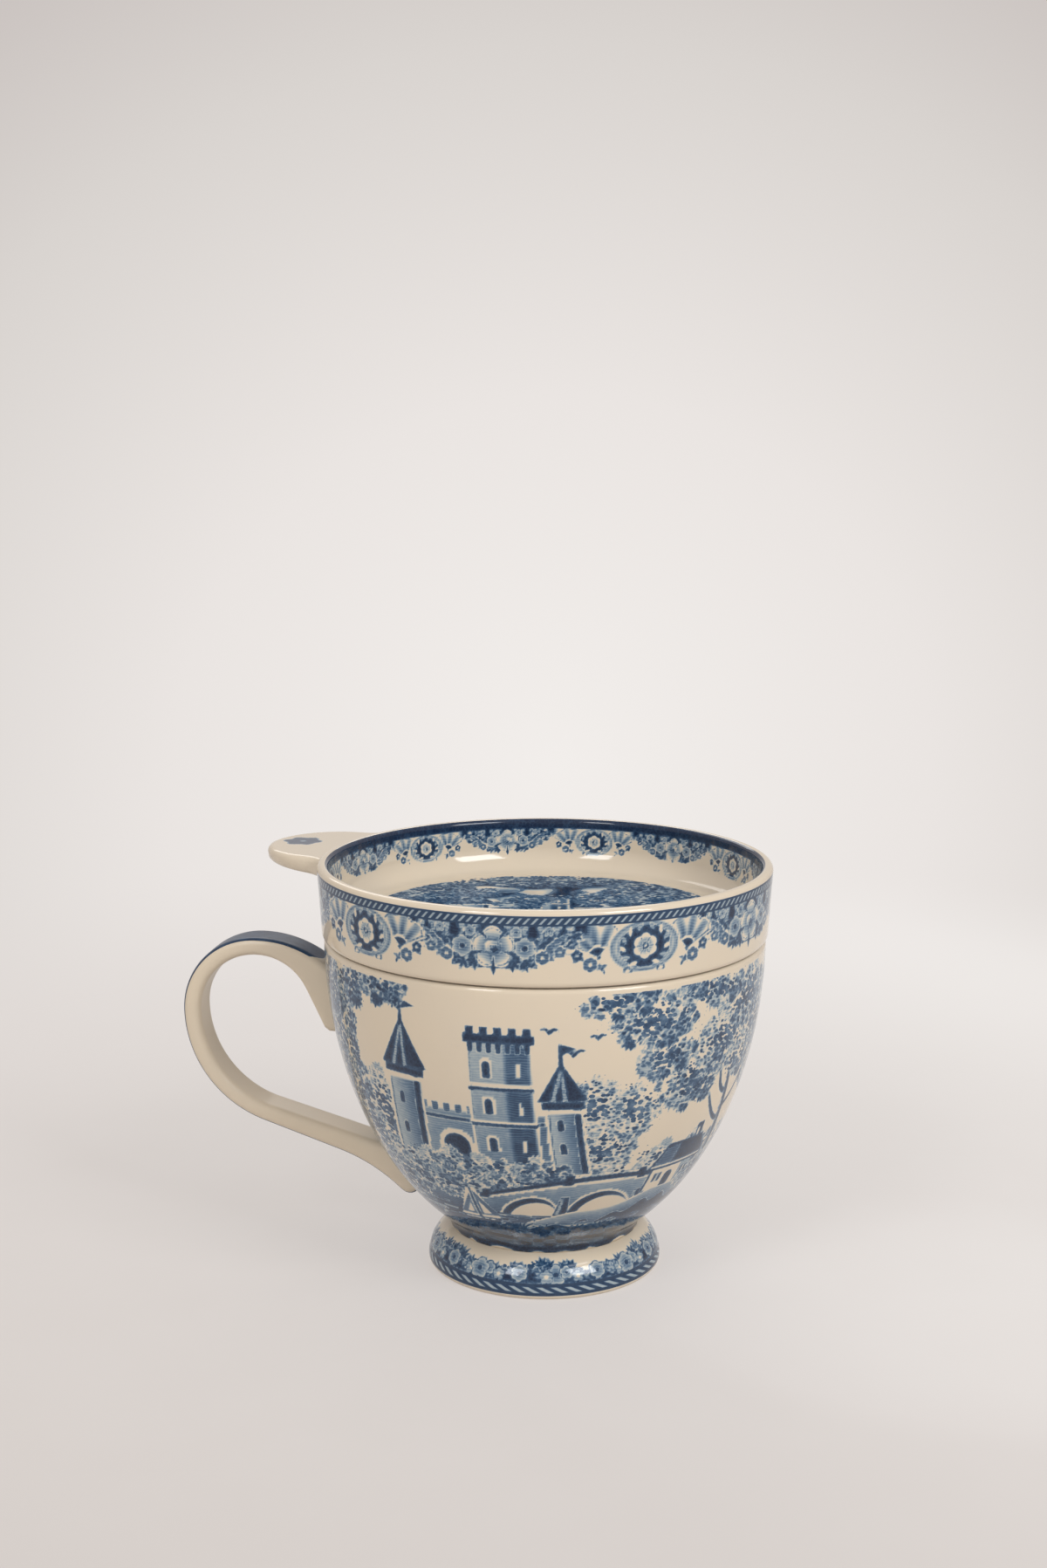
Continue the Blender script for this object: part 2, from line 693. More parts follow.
def poplar(sheet, across, up, high, wide, tones=DARK):
    """Tall slender tree: a stem and sprays that point upwards, fewer towards the tip."""
    sheet.draw(across, up, high, lambda x, y: [("navy", stroke(x, y, (0, -1), (0, high * 0.7), 1.3, 0.6))])
    for rise, half in ((0.32, 1.0), (0.54, 0.92), (0.74, 0.7), (0.9, 0.42)):
        count = round(half * wide * 0.16 * high) + 4
        foliage(sheet, across, up + rise * high, half * wide, 0.16 * high, count, 2.6, -2.4, tones)


def hedge(sheet, left, right, up, high, tones, size=2.6):
    """Row of bushes of uneven height along a line."""
    step = 1.5 * high
    for k in range(round((right - left) / step)):
        luck = sheet.lots.random(2)
        tall = high * (0.7 + 0.6 * luck[0])
        count = round(high * tall)
        foliage(sheet, left + (k + luck[1]) * step, up + 0.4 * tall, high, tall, count, size, tones=tones)


def mound(x, y):
    """Castle hill: a broad hump, pale above and darker below."""
    crest = 10.5 * np.exp(-((x / 17.0) ** 2)) + 0.7 * np.sin(x * 0.9)
    slope = np.minimum(crest - y, y + 8)
    yield "bare", slope + 0.6
    yield "wash", shading(slope, 0.22 + 0.05 * (crest - y))


def bank(x, y):
    """Near bank of the river: dark, with a broken upper edge and lighter stones below."""
    edge = 5.5 + 2.2 * np.cos(x / 12.15) + 0.8 * np.sin(x / 2.3) + 0.5 * np.sin(x / 1.1)
    yield "navy", np.minimum(edge - y, y + 4.2 + 0.5 * np.sin(x / 3.1) + 0.4 * np.sin(x / 1.2 + 1))
    stones = np.sin(x * 0.8 + 1.7 * np.sin(x * 0.31)) * np.cos(y * 1.3 + x * 0.2) - 0.05
    yield "blue", np.minimum(stones, np.minimum(edge - 1.2 - y, y + 2.8))


def meadow(x, y):
    """Far bank on the right, where the cottage and the tree stand: light above and dark at the water."""
    crest = 3.0 + 0.9 * np.sin(x / 3.0) - 0.006 * x**2
    slope = np.minimum(crest - y, y + 7)
    yield "bare", slope + 0.6
    yield "wash", shading(slope, 0.25 + 0.08 * (crest - y))
    yield "navy", np.minimum(crest - 4.2 + np.sin(x * 1.1) - y, y + 6.4 + 0.5 * np.sin(x))


def water(x, y):
    """River: a soft wash, a little lighter towards its far bank."""
    yield "wash", np.clip(7.5 - np.abs(y), 0, 1) * (0.42 - 0.012 * y)


TUFTS = 46
REPEAT_HALF = 76


def landscape(sheet, shift):
    """One repeat of the bowl's picture: a river with a bridge, a hill castle, a cottage and trees.

    Places are millimetres right of the repeat's middle and up from the neck.
    """
    sheet.draw(shift, 13, REPEAT_HALF, water)
    hedge(sheet, shift - 74, shift + 76, 30, 3.4, FAINT, 2.4)
    hedge(sheet, shift - 74, shift + 76, 25, 3.0, ("blue", "blue", "pale"), 2.4)
    thicket(sheet, shift, ((14, 38, 7, 7), (20, 46, 6, 6), (11, 48, 5, 6), (-42, 42, 5, 9)), 2.7, FAINT)
    for across, high in ((-64, 38), (-57.5, 46), (-50.5, 40)):
        poplar(sheet, shift + across, 24, high, 3.6)
    sheet.draw(shift - 16, 22, 34, mound, scale=1.15)
    sheet.draw(shift - 16, 33.5, 32, castle, scale=1.4)
    hedge(sheet, shift - 42, shift + 6, 30.5, 2.8, MIXED)
    hedge(sheet, shift - 48, shift - 2, 24.5, 3.4, DARK)
    ripples(sheet, shift - REPEAT_HALF, shift + REPEAT_HALF, 8.5, 19, 130)
    sheet.draw(shift + 17, 18, 26, bridge, scale=1.12)
    ripples(sheet, shift - 12, shift + 42, 12.5, 17.0, 40, ("navy", "blue"))
    sheet.draw(shift - 22, 13.5, 15, boat, scale=0.95)
    sheet.draw(shift + 56, 20, 34, meadow)
    sheet.draw(shift + 40, 22.5, 18, cottage, scale=1.05)
    oak(sheet, shift + 53, 22.5, 37, 19)
    thicket(sheet, shift, ((24, 66, 10, 4.6), (15, 70.5, 7, 2.2), (40, 70, 10, 2.6)), 2.8, DARK)
    hedge(sheet, shift + 46, shift + 78, 22, 4.2, DARK)
    hedge(sheet, shift - 78, shift - 44, 21.5, 4.4, DARK)
    sheet.draw(shift - 77, 24, 50, trunk, 1.5, 30, 2.2)
    left_crown = (
        (-86, 50, 8, 7),
        (-72, 56, 9, 6),
        (-79, 66, 12, 6),
        (-62, 67, 10, 5),
        (-48, 70, 9, 3),
        (-38, 71, 6, 2),
    )
    thicket(sheet, shift, left_crown, 3.3, DARK)
    sheet.draw(shift, 4.6, 82, bank)
    luck = sheet.lots.random((3, TUFTS))
    for k in range(TUFTS):
        place = shift - REPEAT_HALF + 2 * REPEAT_HALF * (k + luck[0, k]) / TUFTS, 8.0 + 2.5 * luck[1, k]
        if luck[2, k] < 0.55:
            sheet.draw(*place, 7, tuft, "navy", 3.0 + 2.0 * luck[1, k])
        else:
            sheet.draw(*place, 8, fern, "navy", 4.2, 1 if luck[0, k] < 0.5 else -1)
    for across, up, size, tilt in ((6, 60, 2.2, 0.1), (1, 65, 1.8, -0.1), (11, 63.5, 1.6, 0.1)):
        sheet.draw(shift + across, up, 4, bird, size, tilt)


BOWL_SEED = 11
OUTER_SEED = 3
INNER_SEED = 4
FLOOR_SEED = 5
FOOT_SEED = 6


def record(piece, surface, sheets, rise):
    """Stores the ink of a piece's sheets, and the hatching's own measure, on its points."""
    count = len(surface.points)
    tones = np.full((count, len(TONES)), -LEVEL_LIMIT)
    soft = {name: np.zeros(count) for name in SOFT}
    for sheet in sheets:
        sheet.store(tones, soft)
    note(piece, "tones", tones)
    for name in SOFT:
        note(piece, name, soft[name])
    note(piece, "rise", rise)


def decorate_bowl(surface, piece):
    """Draws the landscape twice round the bowl."""
    rows = np.flatnonzero(surface.columns == PRINT_COLUMNS)
    up = surface.travel[rows] - surface.travel[rows[0]]
    sheet = Print(surface, rows, up, mouth_radius, BOWL_SEED)
    for turn in (1, 0):
        landscape(sheet, turn * pi * mouth_radius)
    record(piece, surface, [sheet], surface.travel[surface.row])


# Borders, the dish's floor and the foot


def ring_line(x, y, radius, width):
    """Circle drawn with a line."""
    return width / 2 - np.abs(np.hypot(x, y) - radius)


def spoke(x, y, turn, near, far, wide, thin):
    """Straight stroke along a direction from the middle, between two distances."""
    ray = np.array([cos(turn), sin(turn)])
    return stroke(x, y, near * ray, far * ray, wide, thin)


def rosette(x, y, count, reach, radius, turn=pi / 2):
    """Ring of round petals about a round middle."""
    angles = turn + 2 * pi * np.arange(count) / count
    parts = [oval(x - reach * cos(angle), y - reach * sin(angle), radius, radius) for angle in angles]
    return np.max([oval(x, y, reach, reach), *parts], 0)


def medallion(x, y):
    """Light oval frame, shaded at its edges, round a dark field with a wreath and a flower of six petals."""
    frame_level = oval(x, y, 7.5, 5.2)
    field = oval(x, y, 5.7, 4.4)
    yield from outlined(frame_level, 0.5, 0.62 - 0.6 * frame_level)
    yield "wash", shading(frame_level, 0.50 + 0.8 * field)
    yield "navy", field
    for side in (-1, 1):
        for k in range(6):
            turn = -pi / 2 + side * (0.35 + 0.47 * k)
            start = x - 4.3 * cos(turn), y - 3.4 * sin(turn)
            yield "pale" if k % 2 else "bare", leaf(*start, 2.1, 0.95, turn + side * 0.9)
    bloom = rosette(x, y, 6, 1.6, 1.15)
    yield "navy", bloom + 0.55
    yield "bare", bloom
    yield "wash", shading(bloom, 0.85 - 0.42 * np.hypot(x, y))
    for k in range(6):
        turn = pi / 2 + pi / 6 + k * pi / 3
        yield "blue", spoke(x, y, turn, 0.8, 1.7, 0.3, 0.45)
    yield "navy", oval(x, y, 0.75, 0.75)
    yield "bare", oval(x, y, 0.34, 0.34)
    for side in (-1, 1):
        yield "bare", oval(x - side * 3.7, y + 5.0, 1.3, 1.0)
        yield "blue", ring_line(x - side * 3.7, y + 5.0, 0.75, 0.5)


def cartouche(x, y, side):
    """Ribbed shell beside a medallion: light ribs over soft shading, a dark root and blossoms below."""
    u = side * x
    along_rib = np.hypot(u + 0.6, y + 2.6)
    turn = np.arctan2(u + 0.6, y + 2.6) - 0.22
    rim = 6.6 + 0.45 * np.abs(np.cos(5 * turn))
    inside = np.minimum(rim - along_rib, (0.92 - np.abs(turn)) * along_rib)
    yield from outlined(inside, 0.4, 0.74 - 0.09 * along_rib + 0.24 * np.cos(11 * turn))
    yield "navy", np.minimum(inside, 2.0 - along_rib)
    yield "bare", ring_line(u + 0.6, y + 2.6, 2.2, 0.5)
    for right, up, heading, size in ((0.2, -3.4, -2.4, 2.4), (2.6, -2.6, -0.5, 2.4), (-1.2, -4.6, -2.0, 2.0)):
        yield from spray(u - right, y - up, "navy", "bare", heading, size, 3)
    yield from small_flower(u - 1.0, y + 4.2, 1.5, "blue", "bare", 6)
    yield from small_flower(u - 3.7, y + 2.2, 1.2, "navy", "bare", 5)


def small_flower(x, y, radius, tone, halo, count):
    """Small rosette in one tone with an edge of another. A light one has soft shading and a dark eye."""
    bloom = rosette(x, y, count, 0.6 * radius, 0.42 * radius)
    yield halo, bloom + 0.25
    yield tone, bloom
    if tone == "bare":
        yield "wash", shading(bloom, 0.75 - 0.6 * np.hypot(x, y) / radius)
    yield "navy" if tone == "bare" else "bare", oval(x, y, 0.3 * radius, 0.3 * radius)


def rose(x, y):
    """Full rose: five light petals, shaded towards their folds, round a dark curled heart."""
    whole = flower(x, y, 5, 4.6, 0.08, pi / 2)
    yield "navy", whole + 0.3
    yield "bare", whole
    for k in (0, 2, 4, 1, 3):
        turn = pi / 2 + 2 * pi * k / 5
        petal = oval(x - 2.2 * cos(turn), y - 2.1 * sin(turn), 2.2, 2.0)
        lift = (x * cos(turn) + y * sin(turn)) / 4.2
        yield "blue", petal
        yield "bare", petal - 0.25
        yield "wash", shading(petal, 0.86 - 0.95 * lift)
    for k in range(5):
        gap = 3 * pi / 10 + 2 * pi * k / 5
        yield "navy", spoke(x, y, gap, 1.9, 4.6, 0.2, 0.9)
    yield "blue", oval(x, y, 1.8, 1.65)
    yield "bare", oval(x + 0.3, y - 0.3, 1.35, 1.2)
    yield "wash", shading(oval(x, y, 1.6, 1.5), 0.4 + 0.2 * (x - y))
    yield "navy", oval(x - 0.15, y + 0.15, 0.85, 0.75)
    yield "pale", oval(x + 0.25, y - 0.2, 0.4, 0.34)


def swag(x, y):
    """Dark hanging ground between two medallions, deepest in its middle, with a soft lower edge."""
    depth = 7.4 - 0.09 * np.abs(x) + 0.4 * np.cos(2.3 * x) + 0.25 * np.cos(5.1 * x + 1)
    level = np.minimum(y + depth, 19.0 - np.abs(x))
    yield "navy", level
    yield "wash", 0.62 + 0.36 * level


# Right and up from the garland's top middle, heading, size and tone
LOWER_SPRAYS = (
    (4.6, -7.2, -0.7, 3.6, "navy"),
    (7.4, -7.6, -1.0, 3.4, "navy"),
    (10.4, -7.0, -0.9, 3.2, "navy"),
    (13.4, -6.4, -1.1, 3.0, "blue"),
    (16.0, -5.8, -1.2, 2.6, "navy"),
    (7.2, -10.2, -0.4, 3.4, "navy"),
    (10.6, -9.2, -0.3, 3.0, "blue"),
    (3.6, -11.2, -0.8, 3.0, "navy"),
    (6.0, -11.4, -0.5, 2.8, "navy"),
    (12.9, -8.4, -0.6, 2.6, "navy"),
)
UPPER_SPRAYS = (
    (2.8, -4.9, 0.5, 2.4, "pale"),
    (6.6, -5.4, 2.6, 2.6, "pale"),
    (9.2, -5.2, 0.3, 2.4, "pale"),
    (13.4, -4.9, 2.7, 2.2, "pale"),
)
# Right and up, radius, tone, edge and petals
BLOSSOMS = (
    (4.7, -5.4, 1.25, "bare", "navy", 5),
    (11.2, -5.1, 1.15, "bare", "navy", 5),
    (15.4, -4.6, 0.9, "pale", "navy", 5),
    (6.4, -8.7, 2.2, "bare", "navy", 6),
    (9.9, -10.6, 1.4, "blue", "bare", 6),
    (13.4, -9.4, 1.2, "blue", "bare", 5),
    (15.8, -7.9, 1.0, "navy", "bare", 5),
)


def garland(sheet, across):
    """Rose with blossoms and leaf sprays on both sides: light ones on its hanging ground, dark ones below."""
    sheet.draw(across, 0.0, 21, swag)
    for side in (-1, 1):
        for sprays, reach, halo in ((LOWER_SPRAYS, 5, "pale"), (UPPER_SPRAYS, 4, "navy")):
            for right, up, turn, size, tone in sprays:
                heading = turn if side > 0 else pi - turn
                sheet.draw(across + side * right, up, reach, spray, tone, halo, heading, size, 5)
        for right, up, *details in BLOSSOMS:
            sheet.draw(across + side * right, up, 5, small_flower, *details)
    sheet.draw(across, -12.4, 5, spray, "navy", "bare", -pi / 2, 2.2, 3)
    sheet.draw(across, -8.7, 6, rose)


# How far down from the lip the border's ground ends and the border itself ends, and where its repeats start
BORDER_TOP = 3.9
BORDER_BOTTOM = 14.4
OUTER_REPEATS = 5
OUTER_START = radians(24)
INNER_REPEATS = 7
INNER_START = radians(11.1)
INNER_SCALE = 0.6
INNER_LIFT = 0.6
ALL_ROUND = 400


def border_edges(x, y):
    """Dark band above a border and bare glaze below it."""
    yield "navy", y + BORDER_TOP
    yield "bare", -y - BORDER_BOTTOM


def dish_border(sheet, repeats, start):
    """Medallions with a garland between each pair, below a dark band."""
    pitch = 2 * pi / repeats * sheet.measure
    for k in range(repeats):
        place = start * sheet.measure + k * pitch
        garland(sheet, place + pitch / 2)
        for side in (-1, 1):
            sheet.draw(place + side * 10.6, -8.0, 8, cartouche, side)
        sheet.draw(place, -9.0, 10, medallion)
    sheet.draw(0, 0, ALL_ROUND, border_edges)


PICTURE_RADIUS = 39.9
PICTURE_EDGE = 2.5
WHOLE_FLOOR = 60
FLOOR_MASSES = (
    (-29, -9, 6, 9),
    (30, -9, 6, 9),
    (0, 33, 18, 4.0),
    (-25, 23, 8, 8),
    (23, 25, 8, 6),
    (-5, 12, 5, 5),
    (25, 14, 6, 5),
    (0, -25, 26, 8),
)


def floor_picture(sheet):
    """Round picture on the dish's floor: a bridge and a castle among dark trees, under a cloudy sky."""

    def ground(x, y):
        turn = np.arctan2(y, x)
        edge = 1.2 * np.cos(7 * turn) + 0.8 * np.cos(17 * turn + 1) + 0.6 * np.cos(31 * turn)
        yield "navy", PICTURE_RADIUS - PICTURE_EDGE + edge - np.hypot(x, y)

    def clearing(x, y, wide, high):
        level = oval(x + 0.6 * np.cos(0.9 * y), y + 0.8 * np.cos(0.8 * x), wide, high)
        yield "blue", level + 0.8
        yield "bare", level
        yield "wash", shading(level, 0.32 - 0.2 * level)

    def cloud(x, y):
        level = np.max([oval(x - 4 * k, y - 1.4 * (k % 2), 4.2, 2.4) for k in (-2, -1, 0, 1, 2)], 0)
        yield "blue", level + 0.7
        yield "bare", level
        yield "wash", shading(level, 0.45 - 0.16 * y)

    def river(x, y):
        level = oval(x, y + 0.5 * np.cos(0.4 * x), 27, 3.8)
        yield "bare", level
        yield "wash", shading(level, 0.2 + 0.25 * np.cos(3 * y + 0.3 * np.cos(0.7 * x)))

    def rim(x, y):
        yield "dabs", 1.2 - np.abs(np.hypot(x, y) - PICTURE_RADIUS + PICTURE_EDGE) / 3.0

    def outside(x, y):
        yield "bare", np.hypot(x, y) - PICTURE_RADIUS

    sheet.draw(0, 0, WHOLE_FLOOR, ground)
    sheet.draw(0, 0, WHOLE_FLOOR, rim)
    for across, up, wide, high in ((13, 17, 5, 10), (-14, 10, 7, 5), (-2, 22, 4, 3)):
        sheet.draw(across, up, 16, clearing, wide, high)
    sheet.draw(-18, 24, 14, cloud)
    sheet.draw(-4, -4, 30, castle)
    sheet.draw(4, -15.5, 30, river)
    sheet.draw(6, -14, 26, bridge)
    oak(sheet, 22, -8, 27, 9.5, DARK, ("blue",))
    oak(sheet, -25, -6, 29, 8.5, DARK, ("blue",))
    hedge(sheet, -22, 20, -5, 3.6, DARK, 3.0)
    thicket(sheet, 0, FLOOR_MASSES, 3.6, DARK, ("blue",), 0.7)
    sheet.draw(0, 0, WHOLE_FLOOR, outside)


def decorate_dish(surface, piece):
    """Draws the border outside and inside the wall, and the picture on the floor."""
    height = surface.profile[:, 1]
    rows = np.flatnonzero(surface.columns == DISH_COLUMNS)
    lip = rows[np.argmax(height[rows])]
    floor_height = mouth_height + dish_floor
    outer = rows[rows <= lip]
    inner = rows[(rows > lip) & (height[rows] > floor_height + EDGE)]
    sheets = []
    for part, repeats, start, scale, lift, clear, seed in (
        (outer, OUTER_REPEATS, OUTER_START, 1.0, 0.0, rope_bottom, OUTER_SEED),
        (inner, INNER_REPEATS, INNER_START, INNER_SCALE, INNER_LIFT, inner_line, INNER_SEED),
    ):
        down = np.abs(surface.travel[part] - surface.travel[lip])
        measure = surface.profile[part[len(part) // 2], 0]
        sheet = Print(surface, part, lift - down, measure, seed, scale)
        dish_border(sheet, repeats, start)
        sheet.lay(np.s_[down < clear, :], "bare", np.full((np.sum(down < clear), 1), LEVEL_LIMIT))
        sheets.append(sheet)
    on_floor = (surface.row > inner[-1]) & (surface.points[:, 2] < floor_height + EDGE)
    picture = FloorPrint(surface, np.flatnonzero(on_floor), FLOOR_SEED)
    floor_picture(picture)
    record(piece, surface, [*sheets, picture], surface.travel[surface.row])
    inside = surface.row > lip
    drop = dish_top - surface.points[:, 2]
    drop[surface.row < rows[0]] = 2 * dish_top
    note(piece, "drop", np.where(inside, -drop, drop))


# Across one repeat and up from the foot's edge, radius, tone and petals
FOOT_FLOWERS = (
    (0.0, 5.3, 2.2, "bare", 5),
    (5.0, 4.9, 1.3, "pale", 5),
    (9.8, 5.5, 1.8, "bare", 6),
    (16.0, 4.9, 1.5, "pale", 5),
    (20.6, 5.8, 1.4, "bare", 5),
)
FOOT_REPEATS = 9
FOOT_SPRAYS = 52
FOOT_BORDER_LOW = 2.6


def foot_border(sheet):
    """Leaves and flowers on a dark band above the foot's edging, with an uneven leafy upper edge."""

    def edge(x):
        return 6.6 + 0.9 * np.cos(x * 6 / sheet.measure) + 0.4 * np.cos(x * 22 / sheet.measure + 1)

    def band(x, y):
        level = np.minimum(edge(x) + 0.3 * np.cos(3.7 * x) - y, y - FOOT_BORDER_LOW)
        yield "blue", level
        yield "navy", level - 1.0
        yield "dabs", 1.1 - np.abs(y - edge(x) + 0.3) / 1.6

    sheet.draw(0, 0, ALL_ROUND, band)
    for k in range(FOOT_SPRAYS):
        luck = sheet.lots.random(4)
        place = 2 * pi * sheet.measure * (k + luck[2]) / FOOT_SPRAYS
        heading = pi / 2 + (luck[0] - 0.5) * 1.8
        tone = "navy" if luck[1] < 0.7 else "blue"
        sheet.draw(place, edge(place) - 0.4, 5, spray, tone, "pale", heading, 2.2, 5)
        if luck[3] < 0.5:
            sheet.draw(place, 4.8, 4, spray, "pale", "navy", heading, 2.2, 5)
    for k in range(FOOT_REPEATS):
        place = 2 * pi * sheet.measure * (k + 0.15) / FOOT_REPEATS
        for across, up, radius, tone, petals in FOOT_FLOWERS:
            sheet.draw(place + across, up, 4, small_flower, radius, tone, "navy", petals)


def decorate_foot(surface, piece):
    """Draws the foot's border."""
    rows = np.flatnonzero(surface.columns == FOOT_COLUMNS)
    up = surface.travel[rows] - surface.travel[rows[FOOT_EDGE_ROWS]]
    sheet = Print(surface, rows, up, foot_radius, FOOT_SEED)
    foot_border(sheet)
    record(piece, surface, [sheet], surface.points[:, 2])


# The five pieces

PRINT_COLUMNS = 600
DISH_COLUMNS = 640
FOOT_COLUMNS = 480
FLOOR_COLUMNS = 160
BOWL_ROWS = 140
HOLLOW_ROWS = 40
RIM_ROWS = 5
FOOT_ROWS = 60
FOOT_EDGE_ROWS = 5
DISH_ROUND_ROWS = (8, 6, 6, 18)
DISH_WALL_ROWS = 34
DISH_INNER_ROWS = 22
DISH_FLOOR_ROWS = 38
DISH_MIDDLE_ROWS = 30
STRAP_ROWS = (24, 24, 30, 60)
TAB_POINTS = 220
TAB_RINGS = 12
TAB_EDGE_ROWS = 7

# Close points on a line that is then spaced evenly
FINE = 200

# Sharp corners have two rows this far apart
EDGE = 0.04


def bowl_outside():
    """Bowl from the neck to the rim: an eased flare, then a quarter of an ellipse, as close points."""
    span = np.arccos(flare_radius / mouth_radius)
    joint = np.array([flare_radius, flare_height])
    rise = np.array([mouth_radius * sin(span), bowl_depth * cos(span)])
    flare = eased((neck_radius, neck_height), (0, 1), joint, rise / np.hypot(*rise), FINE)
    top = -asin(rim_round / bowl_depth)
    body = arc((0, mouth_height), (mouth_radius, bowl_depth), -span, top, 10 * FINE)
    return np.concatenate([flare, body])


def bowl_surface():
    """Underside disc, printed outside, rim rounded on both edges, and an ellipse for the hollow."""
    rim_low = mouth_height - rim_round
    outer_middle = (mouth_radius - rim_round, rim_low)
    inner_middle = (inner_radius + rim_round, rim_low)
    hollow_top = -asin(rim_round / inner_depth)
    underside = line((0, neck_height), (neck_radius - EDGE, neck_height), 4)
    under_edge = np.array([[neck_radius - EDGE, neck_height]])
    rim = np.concatenate(
        [
            arc(outer_middle, rim_round, 0, pi / 2, RIM_ROWS),
            line((outer_middle[0], mouth_height), (inner_middle[0], mouth_height), 2),
            arc(inner_middle, rim_round, pi / 2, pi, RIM_ROWS),
        ]
    )
    hollow = arc((0, mouth_height), (inner_radius, inner_depth), hollow_top, -pi / 2, HOLLOW_ROWS)
    bottom = np.array([[0, mouth_height - inner_depth]])
    return Turned(
        [
            (np.concatenate([underside, under_edge]), PRINT_COLUMNS // 4),
            (even(bowl_outside(), BOWL_ROWS), PRINT_COLUMNS),
            (np.concatenate([rim, hollow, bottom]), PRINT_COLUMNS // 4),
        ]
    )


def foot_surface():
    """Ring: a bulged band, a round shoulder up to the neck, a flat top, a sloping hole and a flat land."""
    band_radius = foot_radius - foot_band_bulge
    sag = foot_band_bulge
    bulge = ((foot_band_height / 2) ** 2 + sag**2) / (2 * sag)
    swing = asin(foot_band_height / 2 / bulge)
    band = arc((foot_radius - bulge, foot_band_height / 2), bulge, -swing, swing, 60)
    up_side = (-cos(foot_side_angle), sin(foot_side_angle))
    into_neck = (-cos(foot_top_angle), sin(foot_top_angle))
    shoulder = eased((band_radius, foot_band_height), up_side, (neck_radius, neck_height), into_neck, FINE)
    hole_top = neck_radius - foot_wall
    hole_foot = band_radius - foot_land
    land_corner = (hole_foot, 0), (band_radius, 0), (band_radius, foot_band_height)
    land = corner(*land_corner, foot_edge_round, FOOT_EDGE_ROWS)
    outside = even(np.concatenate([land[-1:], band[band[:, 1] > foot_edge_round], shoulder]), FOOT_ROWS)
    inside = np.concatenate(
        [
            [[neck_radius - EDGE, neck_height]],
            line((neck_radius - 2 * EDGE, neck_height), (hole_top + EDGE, neck_height), 3),
            [[hole_top + EDGE, neck_height]],
            line((hole_top, neck_height - EDGE), (hole_foot, EDGE), 8),
            [[hole_foot, EDGE]],
            line((hole_foot + EDGE, 0), land[0], 4),
        ]
    )
    plain = FOOT_COLUMNS // 4
    return Turned([(land[:-1], FOOT_COLUMNS), (outside, FOOT_COLUMNS), (inside, plain)], ring=True)


def dish_surface():
    """Pan in one profile: underside with its locating ring, seat, wall, round lip, cove and floor."""
    ring_inner = ring_outer - ring_wall
    ring_bottom = mouth_height - ring_height
    floor_top = mouth_height + dish_floor
    inner_lip = dish_radius - dish_wall
    low = [
        (0, mouth_height),
        (ring_inner, mouth_height),
        (ring_inner, ring_bottom),
        (ring_outer, ring_bottom),
        (ring_outer, mouth_height),
    ]
    high = [
        (ring_outer, mouth_height),
        (dish_seat_radius, mouth_height),
        (dish_radius, dish_top),
        (inner_lip, dish_top),
        (inner_lip - dish_inner_draught, floor_top),
        (0, floor_top),
    ]
    ring = [corner(*low[k - 1 : k + 2], ring_round, 4) for k in (1, 2, 3)]
    rounds = (dish_bottom_round, dish_lip_round, dish_lip_round, dish_cove)
    pairs = enumerate(zip(rounds, DISH_ROUND_ROWS))
    seat, lip, inner, cove = [corner(*high[k : k + 3], radius, count) for k, (radius, count) in pairs]
    step = 0.5 * cove[-1, 0]
    under = np.concatenate(
        [
            line(low[0], ring[0][0], 6),
            *ring,
            line(ring[2][-1] + (0, EDGE), (ring_outer, mouth_height - EDGE), 2),
            [[ring_outer, mouth_height - EDGE], [ring_outer + EDGE, mouth_height]],
        ]
    )
    walls = np.concatenate(
        [
            seat[:-1],
            line(seat[-1], lip[0], DISH_WALL_ROWS),
            lip[:-1],
            line(lip[-1], inner[0], 2),
            inner[:-1],
            line(inner[-1], cove[0], DISH_INNER_ROWS),
            cove[:-1],
            line(cove[-1], (step, floor_top), DISH_FLOOR_ROWS),
        ]
    )
    middle = line((step, floor_top), (0, floor_top), DISH_MIDDLE_ROWS)
    pole = np.array([[0, floor_top]])
    return Turned(
        [
            (under, DISH_COLUMNS // 4),
            (walls, DISH_COLUMNS),
            (np.concatenate([middle, pole]), DISH_COLUMNS // 2),
        ]
    )


def bowl_place(height):
    """Point of the bowl's outside at a height, and its outward normal, as (radius, height)."""
    drop = (mouth_height - height) / bowl_depth
    radius = mouth_radius * np.sqrt(1 - drop**2)
    normal = np.array([radius / mouth_radius**2, (height - mouth_height) / bowl_depth**2])
    return np.array([radius, height]), normal / np.hypot(*normal)


